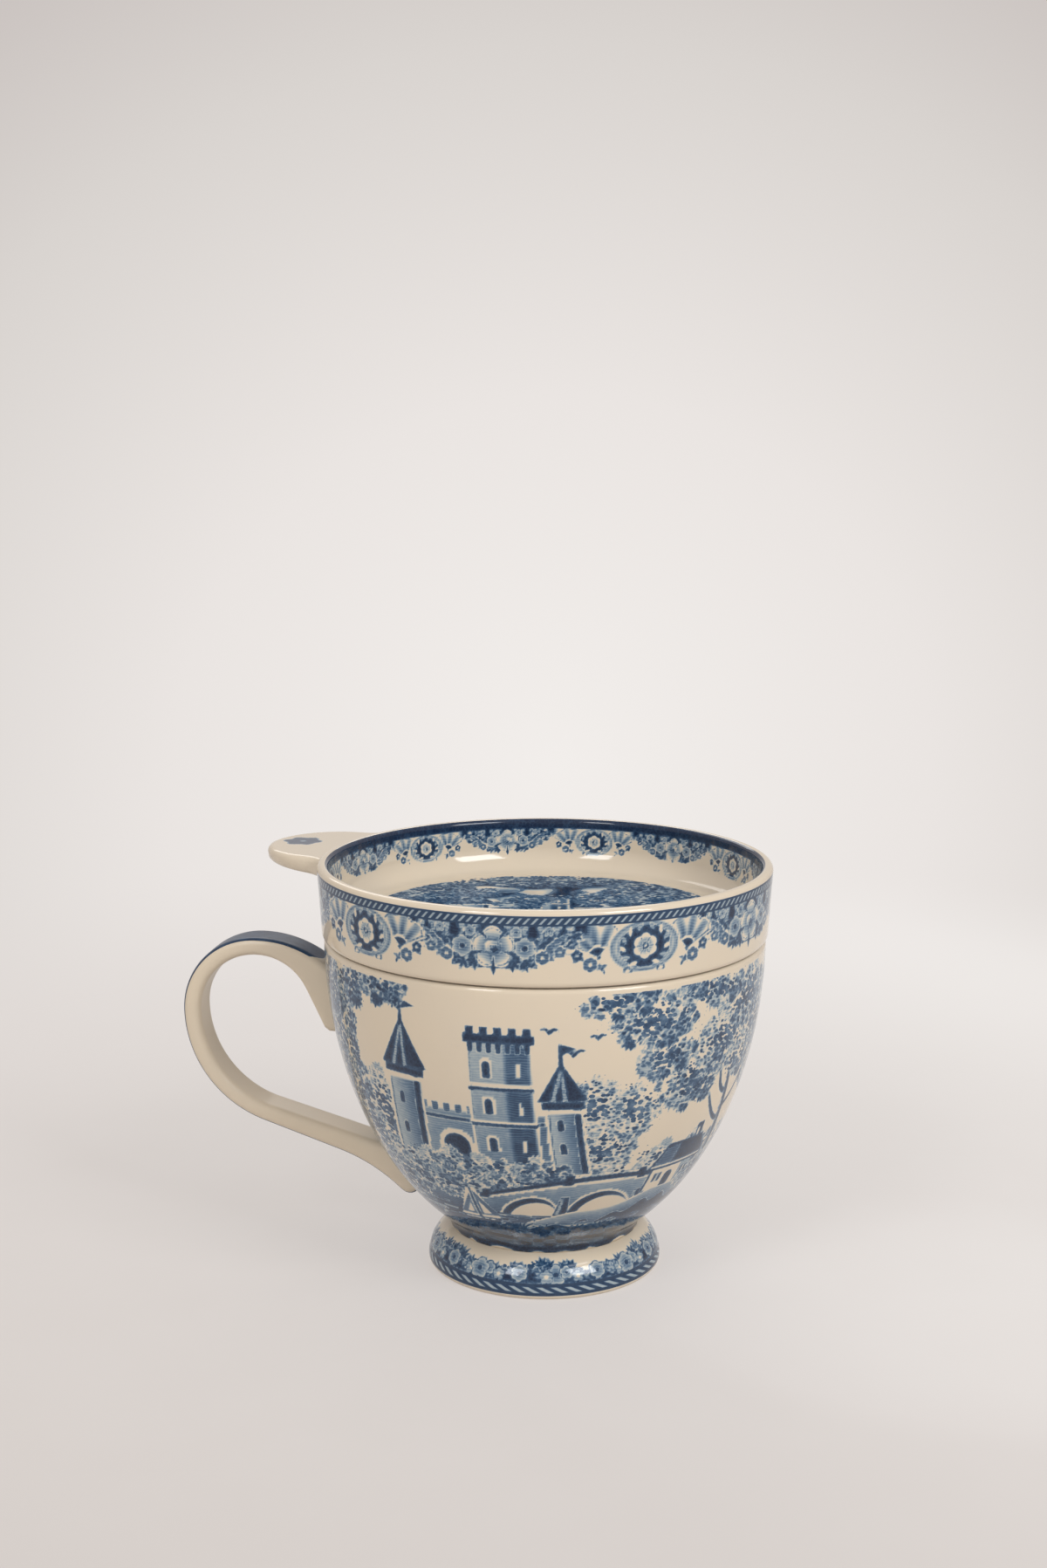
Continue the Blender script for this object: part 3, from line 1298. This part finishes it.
def handle_lines():
    """Outer and inner line of the strap as (radius, height), matched point by point, from root to tail."""
    crown = np.array([handle_reach - crown_radius, handle_top - crown_radius])
    bend = np.array([handle_reach - lower_bend_radius, crown[1]])
    to_bend = bend - bowl_place(tail_height + tail_drop)[0]
    slope = atan2(to_bend[1], to_bend[0]) - asin(lower_bend_radius / np.hypot(*to_bend))
    inwards = np.array([-cos(slope), -sin(slope)])
    last = slope - pi / 2

    shoulder = crown + (0, crown_radius - shoulder_radius)
    sunk = bowl_place(upper_pad_height)[0][0] - root_depth
    lean = asin((crown[0] - sunk - 2 * root_depth) / shoulder_radius)
    root_top = arc(shoulder, shoulder_radius, pi / 2 + lean, pi / 2, FINE)
    hole = crown_radius - handle_thickness
    pad_top = crown + hole * np.array([-cos(upper_pad_lean), sin(upper_pad_lean)])
    pad_foot = (pad_top[0] - tan(upper_pad_lean) * (pad_top[1] - upper_pad_height), upper_pad_height)
    pad = corner((sunk, upper_pad_height), pad_foot, pad_top, handle_edge_round, 40)
    ledge = line((sunk, upper_pad_height), pad[0], 40)
    up = line(pad[-1], pad_top, 80)
    under_crown = arc(crown, hole, pi - upper_pad_lean, pi / 2, FINE)
    root_under = np.concatenate([ledge, pad[:-1], up, under_crown])

    seat, normal = bowl_place(tail_height)
    tail_end = seat + normal * handle_thickness
    limb = bend + lower_bend_radius * np.array([cos(last), sin(last)])
    tail_start = limb + inwards * (limb[0] - tail_end[0] - tail_length * cos(slope)) / cos(slope)
    chord = tail_end - tail_start
    tail = eased(tail_start, inwards, tail_end, 2 * chord / np.hypot(*chord) - inwards, FINE)
    tip = corner(tail[-3], tail_end, seat, tail_round, 60)
    buried = seat - normal * root_depth
    tail = tail[np.hypot(*(tail - tail_end).T) > np.hypot(*(tip[0] - tail_end))]
    outer_limb = np.concatenate([line(limb, tail_start, FINE), tail, tip, line(tip[-1], buried, 40)])
    hole_bend = lower_bend_radius - handle_thickness
    inner_limb = bend + hole_bend * np.array([cos(last), sin(last)])
    heights = np.linspace(tail_height + skin_top, tail_height + skin_bottom, 60)
    skin = np.stack([bowl_place(height)[0] - root_depth * bowl_place(height)[1] for height in heights])
    inner_run = np.concatenate([line(inner_limb, skin[0], FINE), skin])
    root_rows, crown_rows, bend_rows, limb_rows = STRAP_ROWS
    return [
        np.concatenate(
            [
                even(root, root_rows),
                arc(crown, crown_turn, pi / 2, 0, crown_rows),
                arc(bend, bend_turn, 0, last, bend_rows),
                even(run, limb_rows),
                end,
            ]
        )
        for root, crown_turn, bend_turn, run, end in (
            (root_top, crown_radius, lower_bend_radius, outer_limb, [buried]),
            (root_under, hole, hole_bend, inner_run, skin[-1:]),
        )
    ]


def handle_section(wide=13, narrow=3, rounded=7):
    """Rounded rectangle as four arrays: flat share and round share, across the strap and through it.

    Wide and narrow set the points along its faces and its edges, and rounded those of each corner.
    """
    quarter = np.linspace(0, pi / 2, rounded)
    across, through, round_across, round_through = [], [], [], []
    quarters = (1, 1, wide), (1, -1, narrow), (-1, -1, wide), (-1, 1, narrow)
    for turn, (side, face, flats) in enumerate(quarters):
        angle = pi / 2 - quarter - turn * pi / 2
        flat = np.linspace(-1, 1, flats, endpoint=False)[1:]
        flat_across = flat * side if turn % 2 == 0 else np.full(flats - 1, side)
        flat_through = np.full(flats - 1, face) if turn % 2 == 0 else flat * -side
        across += [flat_across, np.full(rounded, side)]
        through += [flat_through, np.full(rounded, face)]
        straight = pi / 2 - turn * pi / 2
        round_across += [np.full(flats - 1, cos(straight)), np.cos(angle)]
        round_through += [np.full(flats - 1, sin(straight)), np.sin(angle)]
    return [np.concatenate(part) for part in (across, through, round_across, round_through)]


def make_tube(name, points, finish):
    """Smooth object round a stack of closed rows of points: quads between the rows and a fan at each end."""
    count, around = points.shape[:2]
    row = np.arange(count - 1)[:, None, None]
    column = np.arange(around)[None, :, None]
    corner_row = row + np.array([0, 0, 1, 1])
    corner_column = column + np.array([0, 1, 1, 0])
    quads = (corner_row * around + corner_column % around).reshape(-1, 4)
    shares = np.broadcast_arrays(corner_row / (count - 1), corner_column / around)
    quad_uv = np.stack(shares, 3).reshape(-1, 2)
    first = np.arange(around)
    last = (count - 1) * around + first
    middle = count * around
    fans = np.concatenate(
        [
            np.stack([(first + 1) % around, first, np.full(around, middle)], 1),
            np.stack([last, (count - 1) * around + (first + 1) % around, np.full(around, middle + 1)], 1),
        ]
    )
    fan_uv = np.zeros((fans.size, 2))
    fan_uv[3 * around :] = 1
    ends = points[[0, -1]].mean(1)
    points = np.concatenate([points.reshape(-1, 3), ends])
    return make_mesh(name, points, [quads, fans], [quad_uv, fan_uv], finish)


# Half width of the inked strip on the strap, and how far from the root it starts
strip_half = 4.4
strip_start = 3.6


def make_handle(finish):
    """Strap: a rounded section set between the outer and the inner line is carried from root to tail."""
    outer, inner = handle_lines()
    depth = np.hypot(*(outer - inner).T)
    through = (outer - inner) / depth[:, None]
    across_flat, through_flat, across_round, through_round = handle_section()
    radius = np.minimum(handle_edge_round, 0.45 * depth)[:, None]
    y = across_flat * (handle_half - radius) + across_round * radius
    d = through_flat * (depth[:, None] / 2 - radius) + through_round * radius
    plane = ((outer + inner) / 2)[:, None, :] + d[:, :, None] * through[:, None, :]
    points = np.stack([-plane[..., 0], y, plane[..., 1]], 2)
    piece = make_tube("handle_strap", points, finish)
    run = along(outer)[:, None]
    on_face = np.where(through_round > 0.5, 0, -strip_half)[None, :]
    rounded_end = np.hypot(np.maximum(strip_start + strip_half - run, 0), y)
    level = strip_half - rounded_end + on_face
    note(piece, "strip", np.concatenate([level.ravel(), [-strip_half] * 2]))
    return piece


def make_tab(finish):
    """Tongue: its outline is drawn in towards the middle, over a rounded edge, above and below."""
    middle = np.array([tab_tip_radius - tab_tip, 0.0])
    to_axis = dish_seat_radius + tab_root_round
    to_tip = tab_tip_radius + tab_root_round
    spread = np.arccos((to_axis**2 + middle[0] ** 2 - to_tip**2) / (-2 * to_axis * middle[0]))
    hollow = to_axis * np.array([-cos(spread), sin(spread)])
    swing = atan2(middle[1] - hollow[1], middle[0] - hollow[0])
    back = atan2(-hollow[1], -hollow[0])
    sweep = (swing - back + pi) % (2 * pi) - pi
    side = arc(hollow, tab_root_round, back, back + sweep, 24)
    shoulder = atan2(hollow[1] - middle[1], hollow[0] - middle[0])
    tip = arc(middle, tab_tip_radius, shoulder, 2 * pi - shoulder, 90)
    far_side = (side * (1, -1))[::-1]
    root = arc((0, 0), tab_root_radius, pi + spread, pi - spread, 30)
    outline = even(np.concatenate([side, tip, far_side, root, side[:1]]), TAB_POINTS)
    centre = np.array([middle[0] + 1, 0])

    flat = np.linspace(1, 0.02, TAB_RINGS)
    bend = np.linspace(0, pi, TAB_EDGE_ROWS)
    inset = np.concatenate([flat, np.zeros(TAB_EDGE_ROWS), flat[::-1]])
    lift = np.concatenate([np.ones(TAB_RINGS), np.cos(bend), -np.ones(TAB_RINGS)])
    draw_in = np.concatenate([np.zeros(TAB_RINGS), 1 - np.sin(bend), np.zeros(TAB_RINGS)])
    rim = np.hypot(*(outline - centre).T)
    edge = tab_edge_round * np.maximum(draw_in[:, None], inset[:, None] > 0)
    pull = np.minimum(inset[:, None] * (rim - tab_edge_round) + edge, rim - 1e-3)
    plan = outline - pull[..., None] * ((outline - centre) / rim[:, None])
    away = np.hypot(plan[..., 0], plan[..., 1]) - dish_seat_radius
    reach = np.clip(away / (tab_tip - dish_seat_radius), 0, 1)
    thickness = tab_root_thickness + reach * (tab_tip_thickness - tab_root_thickness)
    round_edge = np.minimum(tab_edge_round, 0.49 * thickness)
    height = np.where(
        lift[:, None] > 0,
        tab_top - round_edge * (1 - lift[:, None]),
        tab_top - thickness + round_edge * (1 + lift[:, None]),
    )
    x, y = turned(plan[..., 0], plan[..., 1], tab_heading)
    return make_tube("tab_tongue", np.stack([x, y, height], 2), finish)


# Finishes

# Levels of the edgings: down from the lip on the dish, up from the floor on the foot
rope_line = 1.05
rope_top = 1.35
rope_bottom = 2.85
border_top = 3.1
inner_line = 0.4
inner_band_bottom = 1.75
seam_top = dish_top - mouth_height - 0.4
seam_bottom = dish_top - mouth_height + 0.3
worn_from = 11.0
worn_full = 12.0
foot_rope_low = 1.5
foot_rope_high = 2.9
foot_rope_margin = 0.6
DISH_STRANDS = 190
FOOT_STRANDS = 53

# The tab's rosette, from the dish's middle
rosette_reach = 60.0
rosette_radius = 4.4
rosette_petals = 6.0


class Value:
    """A number on its way through a node tree: arithmetic on it adds Math nodes."""

    def __init__(self, finish, socket):
        self.finish = finish
        self.socket = socket

    def maths(self, operation, *others):
        """One Math node on this number and others."""
        values = dict(enumerate((self, *others)))
        return self.finish.add("ShaderNodeMath", {"operation": operation}, values)

    def __add__(self, other):
        return self.maths("ADD", other)

    def __mul__(self, other):
        return self.maths("MULTIPLY", other)

    def __sub__(self, other):
        return self.maths("SUBTRACT", other)

    def __rsub__(self, other):
        return self.maths("MULTIPLY_ADD", -1, other)

    __radd__ = __add__
    __rmul__ = __mul__

    def ramp(self, low, high):
        """Nought below low and one above high, eased between them."""
        settings = {"interpolation_type": "SMOOTHSTEP"}
        inputs = {"Value": self, "From Min": low, "From Max": high}
        return self.finish.add("ShaderNodeMapRange", settings, inputs)

    def fold(self):
        """Distance from the nearest whole number, nought to a half."""
        return self.maths("PINGPONG", 0.5)

    def most(self, other):
        """The greater of two numbers."""
        return self.maths("MAXIMUM", other)

    def root(self):
        """Square root."""
        return self.maths("SQRT")


class Finish:
    """The node tree of a material or a world. One method adds any node."""

    def __init__(self, owner):
        self.owner = owner
        owner.use_nodes = True
        self.tree = owner.node_tree
        self.tree.nodes.clear()

    def add(self, kind, settings=None, inputs=None, output=0):
        """Adds a node, sets its settings and a ramp's stops, then sets or links its sockets."""
        node = self.tree.nodes.new(kind)
        for name, setting in (settings or {}).items():
            if name == "stops":
                set_stops(node.color_ramp, setting)
            else:
                setattr(node, name, setting)
        for name, value in (inputs or {}).items():
            if isinstance(value, Value):
                self.tree.links.new(value.socket, node.inputs[name])
            else:
                node.inputs[name].default_value = value
        return Value(self, node.outputs[output]) if len(node.outputs) else None

    def millimetres(self):
        """The piece's own coordinates in millimetres."""
        place = self.add("ShaderNodeTexCoord", None, None, "Object")
        return self.add("ShaderNodeVectorMath", {"operation": "SCALE"}, {0: place, "Scale": 1 / MM})

    def noise(self, place, size, detail=2.0):
        """Soft noise about one half, with lumps of a size in millimetres."""
        inputs = {"Vector": place, "Scale": 1 / size, "Detail": detail}
        return self.add("ShaderNodeTexNoise", None, inputs, "Fac")

    def cells(self, place, size, feature="F1"):
        """Distance from the middle or the edge of cells of a size in millimetres, in cell widths."""
        inputs = {"Vector": place, "Scale": 1 / size}
        return self.add("ShaderNodeTexVoronoi", {"feature": feature}, inputs, "Distance")

    def stored(self, name, output="Fac"):
        """A number, or three as a vector, stored on the piece's points."""
        return self.add("ShaderNodeAttribute", {"attribute_name": name}, None, output)

    def split(self, vector):
        """The three numbers of a vector."""
        first = self.add("ShaderNodeSeparateXYZ", None, {0: vector})
        return [Value(self, socket) for socket in first.socket.node.outputs]

    def across(self):
        """How far round the piece, nought to one, from its UV map."""
        return self.split(self.add("ShaderNodeUVMap", {"uv_map": "OFBake"}))[0]

    def seen(self):
        """One for what the camera sees, straight, mirrored or through glass, and nought for light alone."""
        camera, mirror, glass = [
            self.add("ShaderNodeLightPath", None, None, kind)
            for kind in ("Is Camera Ray", "Is Glossy Ray", "Is Transmission Ray")
        ]
        return camera.most(mirror).most(glass)

    def ramped(self, stops, share):
        """Colour picked from a ramp's stops."""
        return self.add("ShaderNodeValToRGB", {"stops": stops}, {"Fac": share})

    def blend(self, share, first, second):
        """Colour between two others."""
        inputs = {"Factor": share, "A": first, "B": second}
        return self.add("ShaderNodeMix", {"data_type": "RGBA"}, inputs, "Result")

    def mix(self, share, first, second):
        """Shader between two others."""
        return self.add("ShaderNodeMixShader", None, {0: share, 1: first, 2: second})

    def end(self, shader):
        """Gives a material its shader."""
        self.add("ShaderNodeOutputMaterial", None, {"Surface": shader})
        return self.owner

    def glaze(self, place, ink, rough=0.06, shine=0.5, soil=None, worn=None):
        """Glossy cream glaze over blue ink. The ink's strength, nought to one, picks the colour.

        Rough is its least roughness and shine its reflection. Soil darkens it and worn takes its shine, both
        nought to one.
        """
        clouds = self.noise(place, CLOUD_SIZE, 3.0)
        grain = self.noise(place, GRAIN_SIZE)
        cream = self.ramped(CREAM_STOPS, clouds)
        print_colour = self.ramped(INK_STOPS, ink + (grain - 0.5) * 0.16)
        colour = self.blend(ink.ramp(0.0, 0.22), cream, print_colour)
        if soil:
            colour = self.blend(soil, colour, SOIL)
        ripple = self.noise(place, RIPPLE_SIZE)
        bump = self.add("ShaderNodeBump", None, {"Strength": 0.035, "Distance": 0.0004, "Height": ripple})
        glossy = {
            "Base Color": colour,
            "Roughness": rough + clouds * 0.04 + ink * 0.02,
            "IOR": 1.5,
            "Specular IOR Level": shine,
            "Coat Weight": 0.08,
            "Coat Roughness": 0.05,
            "Normal": bump,
        }
        shader = self.add("ShaderNodeBsdfPrincipled", None, glossy)
        if worn:
            matt = {"Base Color": colour, "Roughness": 0.8, "Specular IOR Level": 0.0}
            shader = self.mix(worn, shader, self.add("ShaderNodeBsdfPrincipled", None, matt))
        return self.end(shader)


def set_stops(ramp, stops):
    """Gives a colour ramp its stops, from first to last."""
    while len(ramp.elements) < len(stops):
        ramp.elements.new(1.0)
    for element, (position, colour) in zip(ramp.elements, stops):
        element.position = position
        element.color = (*colour, 1.0)


# Sizes of the glaze's lumps and of the engraving's grain, in millimetres
CLOUD_SIZE = 24.0
GRAIN_SIZE = 0.9
RIPPLE_SIZE = 3.4
RAGGED_SIZE = 0.7
VEIN_SIZE = 0.95
HATCH_PITCH = 0.58
DAB_SIZE = 1.15
EDGE_SOFTNESS = 0.2

# Colours are linear light
SOIL = (0.090, 0.066, 0.050, 1.0)
CREAM_STOPS = [(0.30, (0.640, 0.545, 0.425)), (0.70, (0.665, 0.560, 0.425))]
INK_STOPS = [
    (0.00, (0.530, 0.525, 0.470)),
    (0.22, (0.320, 0.370, 0.390)),
    (0.45, (0.120, 0.188, 0.265)),
    (0.70, (0.034, 0.078, 0.148)),
    (1.00, (0.004, 0.016, 0.046)),
]


def engraved(finish, place, rise):
    """Ink strength of the drawn print: three tones cut from their levels, each with its own engraving.

    Strengths are shares of full ink. Soft shading and loose leaves lie over the tones.
    """
    tones = finish.split(finish.stored("tones", "Vector"))
    navy, blue, pale = tones
    ragged = (finish.noise(place, RAGGED_SIZE) - 0.5) * 0.3
    is_navy, is_blue, is_pale = [(tone + ragged).ramp(-EDGE_SOFTNESS, EDGE_SOFTNESS) for tone in tones]
    veins = 1 - finish.cells(place, VEIN_SIZE, "DISTANCE_TO_EDGE").ramp(0.02, 0.14)
    lines = ((rise + finish.noise(place, 4.0, 1.0) * 1.6) * (1 / HATCH_PITCH)).fold().ramp(0.12, 0.34)
    patchy = finish.noise(place, 3.0, 3.0) - 0.5
    navy_ink = 0.80 + navy.ramp(0.0, 0.8) * 0.20 - veins * 0.08 + patchy * 0.26
    blue_ink = 0.53 + blue.ramp(0.0, 0.8) * 0.08 + lines * 0.12 + patchy * 0.30
    pale_ink = 0.20 + pale.ramp(0.0, 0.6) * 0.05 + lines * 0.14 + patchy * 0.14
    wash_ink = finish.stored("wash") * (0.86 + lines * 0.24 + patchy * 0.5)
    drawn = is_navy * navy_ink + is_blue * blue_ink + is_pale * pale_ink
    flat = finish.add("ShaderNodeVectorMath", {"operation": "MULTIPLY"}, {0: place, 1: (1.0, 1.0, 1.5)})
    dabs = finish.stored("dabs")
    away = finish.cells(flat, DAB_SIZE)
    leaves = (dabs * 0.66 - away).ramp(-0.08, 0.08)
    leaf_ink = leaves * (finish.noise(place, 2.2) * 1.1 + 0.14)
    gaps = dabs.ramp(0.0, 0.4) * away.ramp(0.42, 0.72)
    return (drawn * (1 - gaps * (0.66 - is_navy * 0.3))).most(wash_ink).most(leaf_ink)


def rope(across, rise, low, high, count, lean, width):
    """Twisted edging between two levels: how much of a slanting strand shows, nought to one."""
    middle = (low + high) / 2
    half = (high - low) / 2
    strand = (across * count + (rise - middle) * lean).fold().ramp(0.42 - width / 2, 0.58 - width / 2)
    away = (rise - middle).maths("ABSOLUTE")
    return strand * (1 - away.ramp(half - 0.22, half - 0.02))


def between(value, low, high, soft=0.06):
    """One between two levels, nought outside."""
    return value.ramp(low - soft, low + soft) * (1 - value.ramp(high - soft, high + soft))


def begin(name):
    """A new material's node tree and its coordinates in millimetres."""
    finish = Finish(bpy.data.materials.new(name))
    return finish, finish.millimetres()


def bowl_finish():
    """Glaze over the landscape, which is drawn on the bowl's points."""
    finish, place = begin("bowl_glaze")
    return finish.glaze(place, engraved(finish, place, finish.stored("rise")))


def dish_finish():
    """Glaze over the borders and the floor picture, which is worn, with a rope edging outside, a dark band
    inside and some soil in the seam.
    """
    finish, place = begin("dish_glaze")
    drop = finish.stored("drop")
    drawn = engraved(finish, place, finish.stored("rise"))
    edging = between(drop, rope_line, border_top)
    strands = rope(finish.across(), drop, rope_top, rope_bottom, DISH_STRANDS, 0.57, 0.36)
    inner_band = between(0 - drop, inner_line, inner_band_bottom)
    ink = drawn * (1 - edging) + edging * (0.86 - strands * 0.62)
    seam = between(drop, seam_top, seam_bottom, 0.12)
    worn = (0 - drop).ramp(worn_from, worn_full) * drawn.ramp(0.0, 0.3)
    return finish.glaze(place, ink.most(inner_band * 0.82), soil=seam * 0.8, worn=worn * 0.8)


def foot_finish():
    """Glaze over the foot's border, with a rope edging above the base line."""
    finish, place = begin("foot_glaze")
    rise = finish.stored("rise")
    drawn = engraved(finish, place, rise)
    edging = between(rise, foot_rope_low - foot_rope_margin, foot_rope_high + foot_rope_margin)
    strands = rope(finish.across(), rise, foot_rope_low, foot_rope_high, FOOT_STRANDS, 0.72, 0.46)
    ink = drawn * (1 - edging) + edging * (0.88 - strands * 0.66)
    return finish.glaze(place, ink)


def handle_finish():
    """Glaze over a broad strip of ink along the strap's outer face."""
    finish, place = begin("handle_glaze")
    level = finish.stored("strip") + (finish.noise(place, 1.2) - 0.5) * 0.3
    strip = level.ramp(-0.12, 0.12)
    mottle = finish.noise(place, 2.5, 3.0)
    return finish.glaze(place, strip * (0.86 + (mottle - 0.5) * 0.3), rough=0.3, shine=0.25)


def tab_finish():
    """Glaze over a small printed rosette on the tab's top."""
    finish, place = begin("tab_glaze")
    x, y, z = finish.split(place)
    right = x + rosette_reach * cos(tab_heading)
    up = y - rosette_reach * sin(tab_heading)
    away = (right * right + up * up).root()
    petal = (up.maths("ARCTAN2", right) * rosette_petals).maths("COSINE")
    on_top = z.ramp(tab_top - 0.3, tab_top - 0.1)
    ragged = (finish.noise(place, 1.0) - 0.5) * 0.8
    petals = (petal * 0.4 + (rosette_radius - 0.4) - away + ragged).ramp(-0.5, 0.5)
    eye = 1 - away.ramp(0.5, 1.0)
    return finish.glaze(place, petals * on_top * (0.84 - eye * 0.5))


FLOOR_STOPS = [(0.35, (0.700, 0.658, 0.630)), (0.65, (0.715, 0.675, 0.648))]
TABLE_STOPS = [
    (0.00, (0.600, 0.548, 0.515)),
    (0.29, (0.745, 0.698, 0.672)),
    (0.55, (0.800, 0.760, 0.735)),
    (0.90, (0.887, 0.855, 0.831)),
]
BACKDROP_STOPS = [
    (0.00, (0.887, 0.855, 0.831)),
    (0.34, (0.823, 0.783, 0.760)),
    (0.64, (0.694, 0.658, 0.631)),
    (0.86, (0.565, 0.518, 0.500)),
]

# How the floor's light changes, in millimetres from the cup
glow_from = 70.0
glow_full = 330.0
fade_from = 210.0
fade_full = 450.0
pool_middle = (105.0, -15.0)
pool_half = (90.0, 70.0)
table_near = 200.0
table_depth = 700.0


def floor_finish():
    """Pale matt floor that takes the shadow, and runs out to the plain pale background."""
    finish, place = begin("floor_paper")
    x, y = finish.split(place)[:2]
    away = (x * x + y * y).root()
    far = away.ramp(glow_from, glow_full)
    paper = finish.ramped(FLOOR_STOPS, finish.noise(place, 30.0, 3.0))
    matt = finish.add("ShaderNodeBsdfDiffuse", None, {"Color": paper})
    right, back = [(axis - middle) * (1 / half) for axis, middle, half in zip((x, y), pool_middle, pool_half)]
    pool = 1 - (right * right + back * back).ramp(0.0, 1.0)
    depth = (y + x * (0.45 + y * 0.002) + table_near) * (1 / table_depth) + pool * 0.25
    tone = finish.ramped(TABLE_STOPS, depth)
    glow = finish.add("ShaderNodeEmission", None, {"Color": tone, "Strength": 1.0})
    seen = finish.seen()
    lit = finish.mix((0.62 + far * 0.38) * seen, matt, glow)
    clear = finish.add("ShaderNodeBsdfTransparent")
    return finish.end(finish.mix(away.ramp(fade_from, fade_full) * seen, lit, clear))


FILL = (1.0, 0.975, 0.95, 1.0)
fill_strength = 0.55
backdrop_right = 0.133
backdrop_up = 0.165


def make_world():
    """Soft fill from all round. The camera sees a plain pale backdrop, brightest behind the cup."""
    world = bpy.data.worlds.new("studio")
    bpy.context.scene.world = world
    finish = Finish(world)
    x, z = finish.split(finish.add("ShaderNodeTexCoord", None, None, "Generated"))[::2]
    right = x + backdrop_right
    up = z + backdrop_up
    spread = (right * right + up * up).root() * 2.0
    seen_colour = finish.ramped(BACKDROP_STOPS, spread)
    shown = finish.add("ShaderNodeBackground", None, {"Color": seen_colour, "Strength": 1.0})
    fill = finish.add("ShaderNodeBackground", None, {"Color": FILL, "Strength": fill_strength})
    mixed = finish.mix(finish.seen(), fill, shown)
    finish.add("ShaderNodeOutputWorld", None, {"Surface": mixed})


# Floor, light and camera

camera_distance = 468.5
camera_height = 189.8
camera_pitch = radians(9.88)
camera_turn = radians(8)
camera_swing = radians(0.574)
lens = 50.0
film_height = 36.0
floor_gap = 0.05
floor_inner = 20.0
floor_outer = 460.0
FLOOR_RINGS = 24

# Name, place in metres, width and height, watts and colour of each lamp
LAMPS = (
    ("window_right", (0.740, -0.590, 0.77), (0.48, 0.48), 7.4, (0.96, 0.98, 1.0)),
    ("window_left", (-0.414, -0.849, 0.77), (0.28, 0.45), 3.5, (0.97, 0.98, 1.0)),
    ("back_fill", (-0.35, 0.95, 0.80), (0.8, 0.6), 2.9, (1.0, 0.98, 0.95)),
)
LAMP_AIM = (0, 0, 0.05)


def make_camera():
    """The photograph's view: a 50 mm lens a little above the cup, looking down at it."""
    data = bpy.data.cameras.new("view")
    data.lens = lens
    data.sensor_fit = "VERTICAL"
    data.sensor_height = film_height
    camera = bpy.data.objects.new("view", data)
    side = camera_distance * sin(camera_turn)
    back = -camera_distance * cos(camera_turn)
    camera.location = (side * MM, back * MM, camera_height * MM)
    camera.rotation_euler = (pi / 2 - camera_pitch, 0, camera_turn + camera_swing)
    bpy.context.scene.collection.objects.link(camera)
    bpy.context.scene.camera = camera


def make_lamp(name, place, size, power, colour):
    """Soft panel of light: a rectangle that faces the cup."""
    data = bpy.data.lights.new(name, "AREA")
    data.shape = "RECTANGLE"
    data.size, data.size_y = size
    data.energy = power
    data.color = colour
    lamp = bpy.data.objects.new(name, data)
    lamp.location = place
    towards = np.array(LAMP_AIM) - np.array(place)
    flat = hypot(towards[0], towards[1])
    lamp.rotation_euler = (pi / 2 + atan2(towards[2], flat), 0, atan2(towards[1], towards[0]) - pi / 2)
    bpy.context.scene.collection.objects.link(lamp)


def make_floor():
    """Wide round floor: rings of points, flat and a hair below the foot's land."""
    rings = np.concatenate([[0.0], np.geomspace(floor_inner, floor_outer, FLOOR_RINGS)])[::-1]
    profile = np.stack([rings, np.full(len(rings), -floor_gap)], 1)
    floor = Turned([(profile, FLOOR_COLUMNS)]).make("floor", floor_finish())


# The scene

make_world()
make_floor()
for lamp in LAMPS:
    make_lamp(*lamp)
make_camera()

bowl = bowl_surface()
foot = foot_surface()
dish = dish_surface()
bowl_piece = bowl.make("bowl_body", bowl_finish())
foot_piece = foot.make("foot_body", foot_finish())
dish_piece = dish.make("dish_body", dish_finish())
claim(bowl_piece, "cup", "cup_bowl")
claim(foot_piece, "cup", "foot_ring")
claim(dish_piece, "dish", "lid_dish")
claim(make_handle(handle_finish()), "cup", "handle")
claim(make_tab(tab_finish()), "dish", "thumb_tab")
decorate_bowl(bowl, bowl_piece)
decorate_foot(foot, foot_piece)
decorate_dish(dish, dish_piece)

bpy.context.scene.view_settings.view_transform = "Standard"
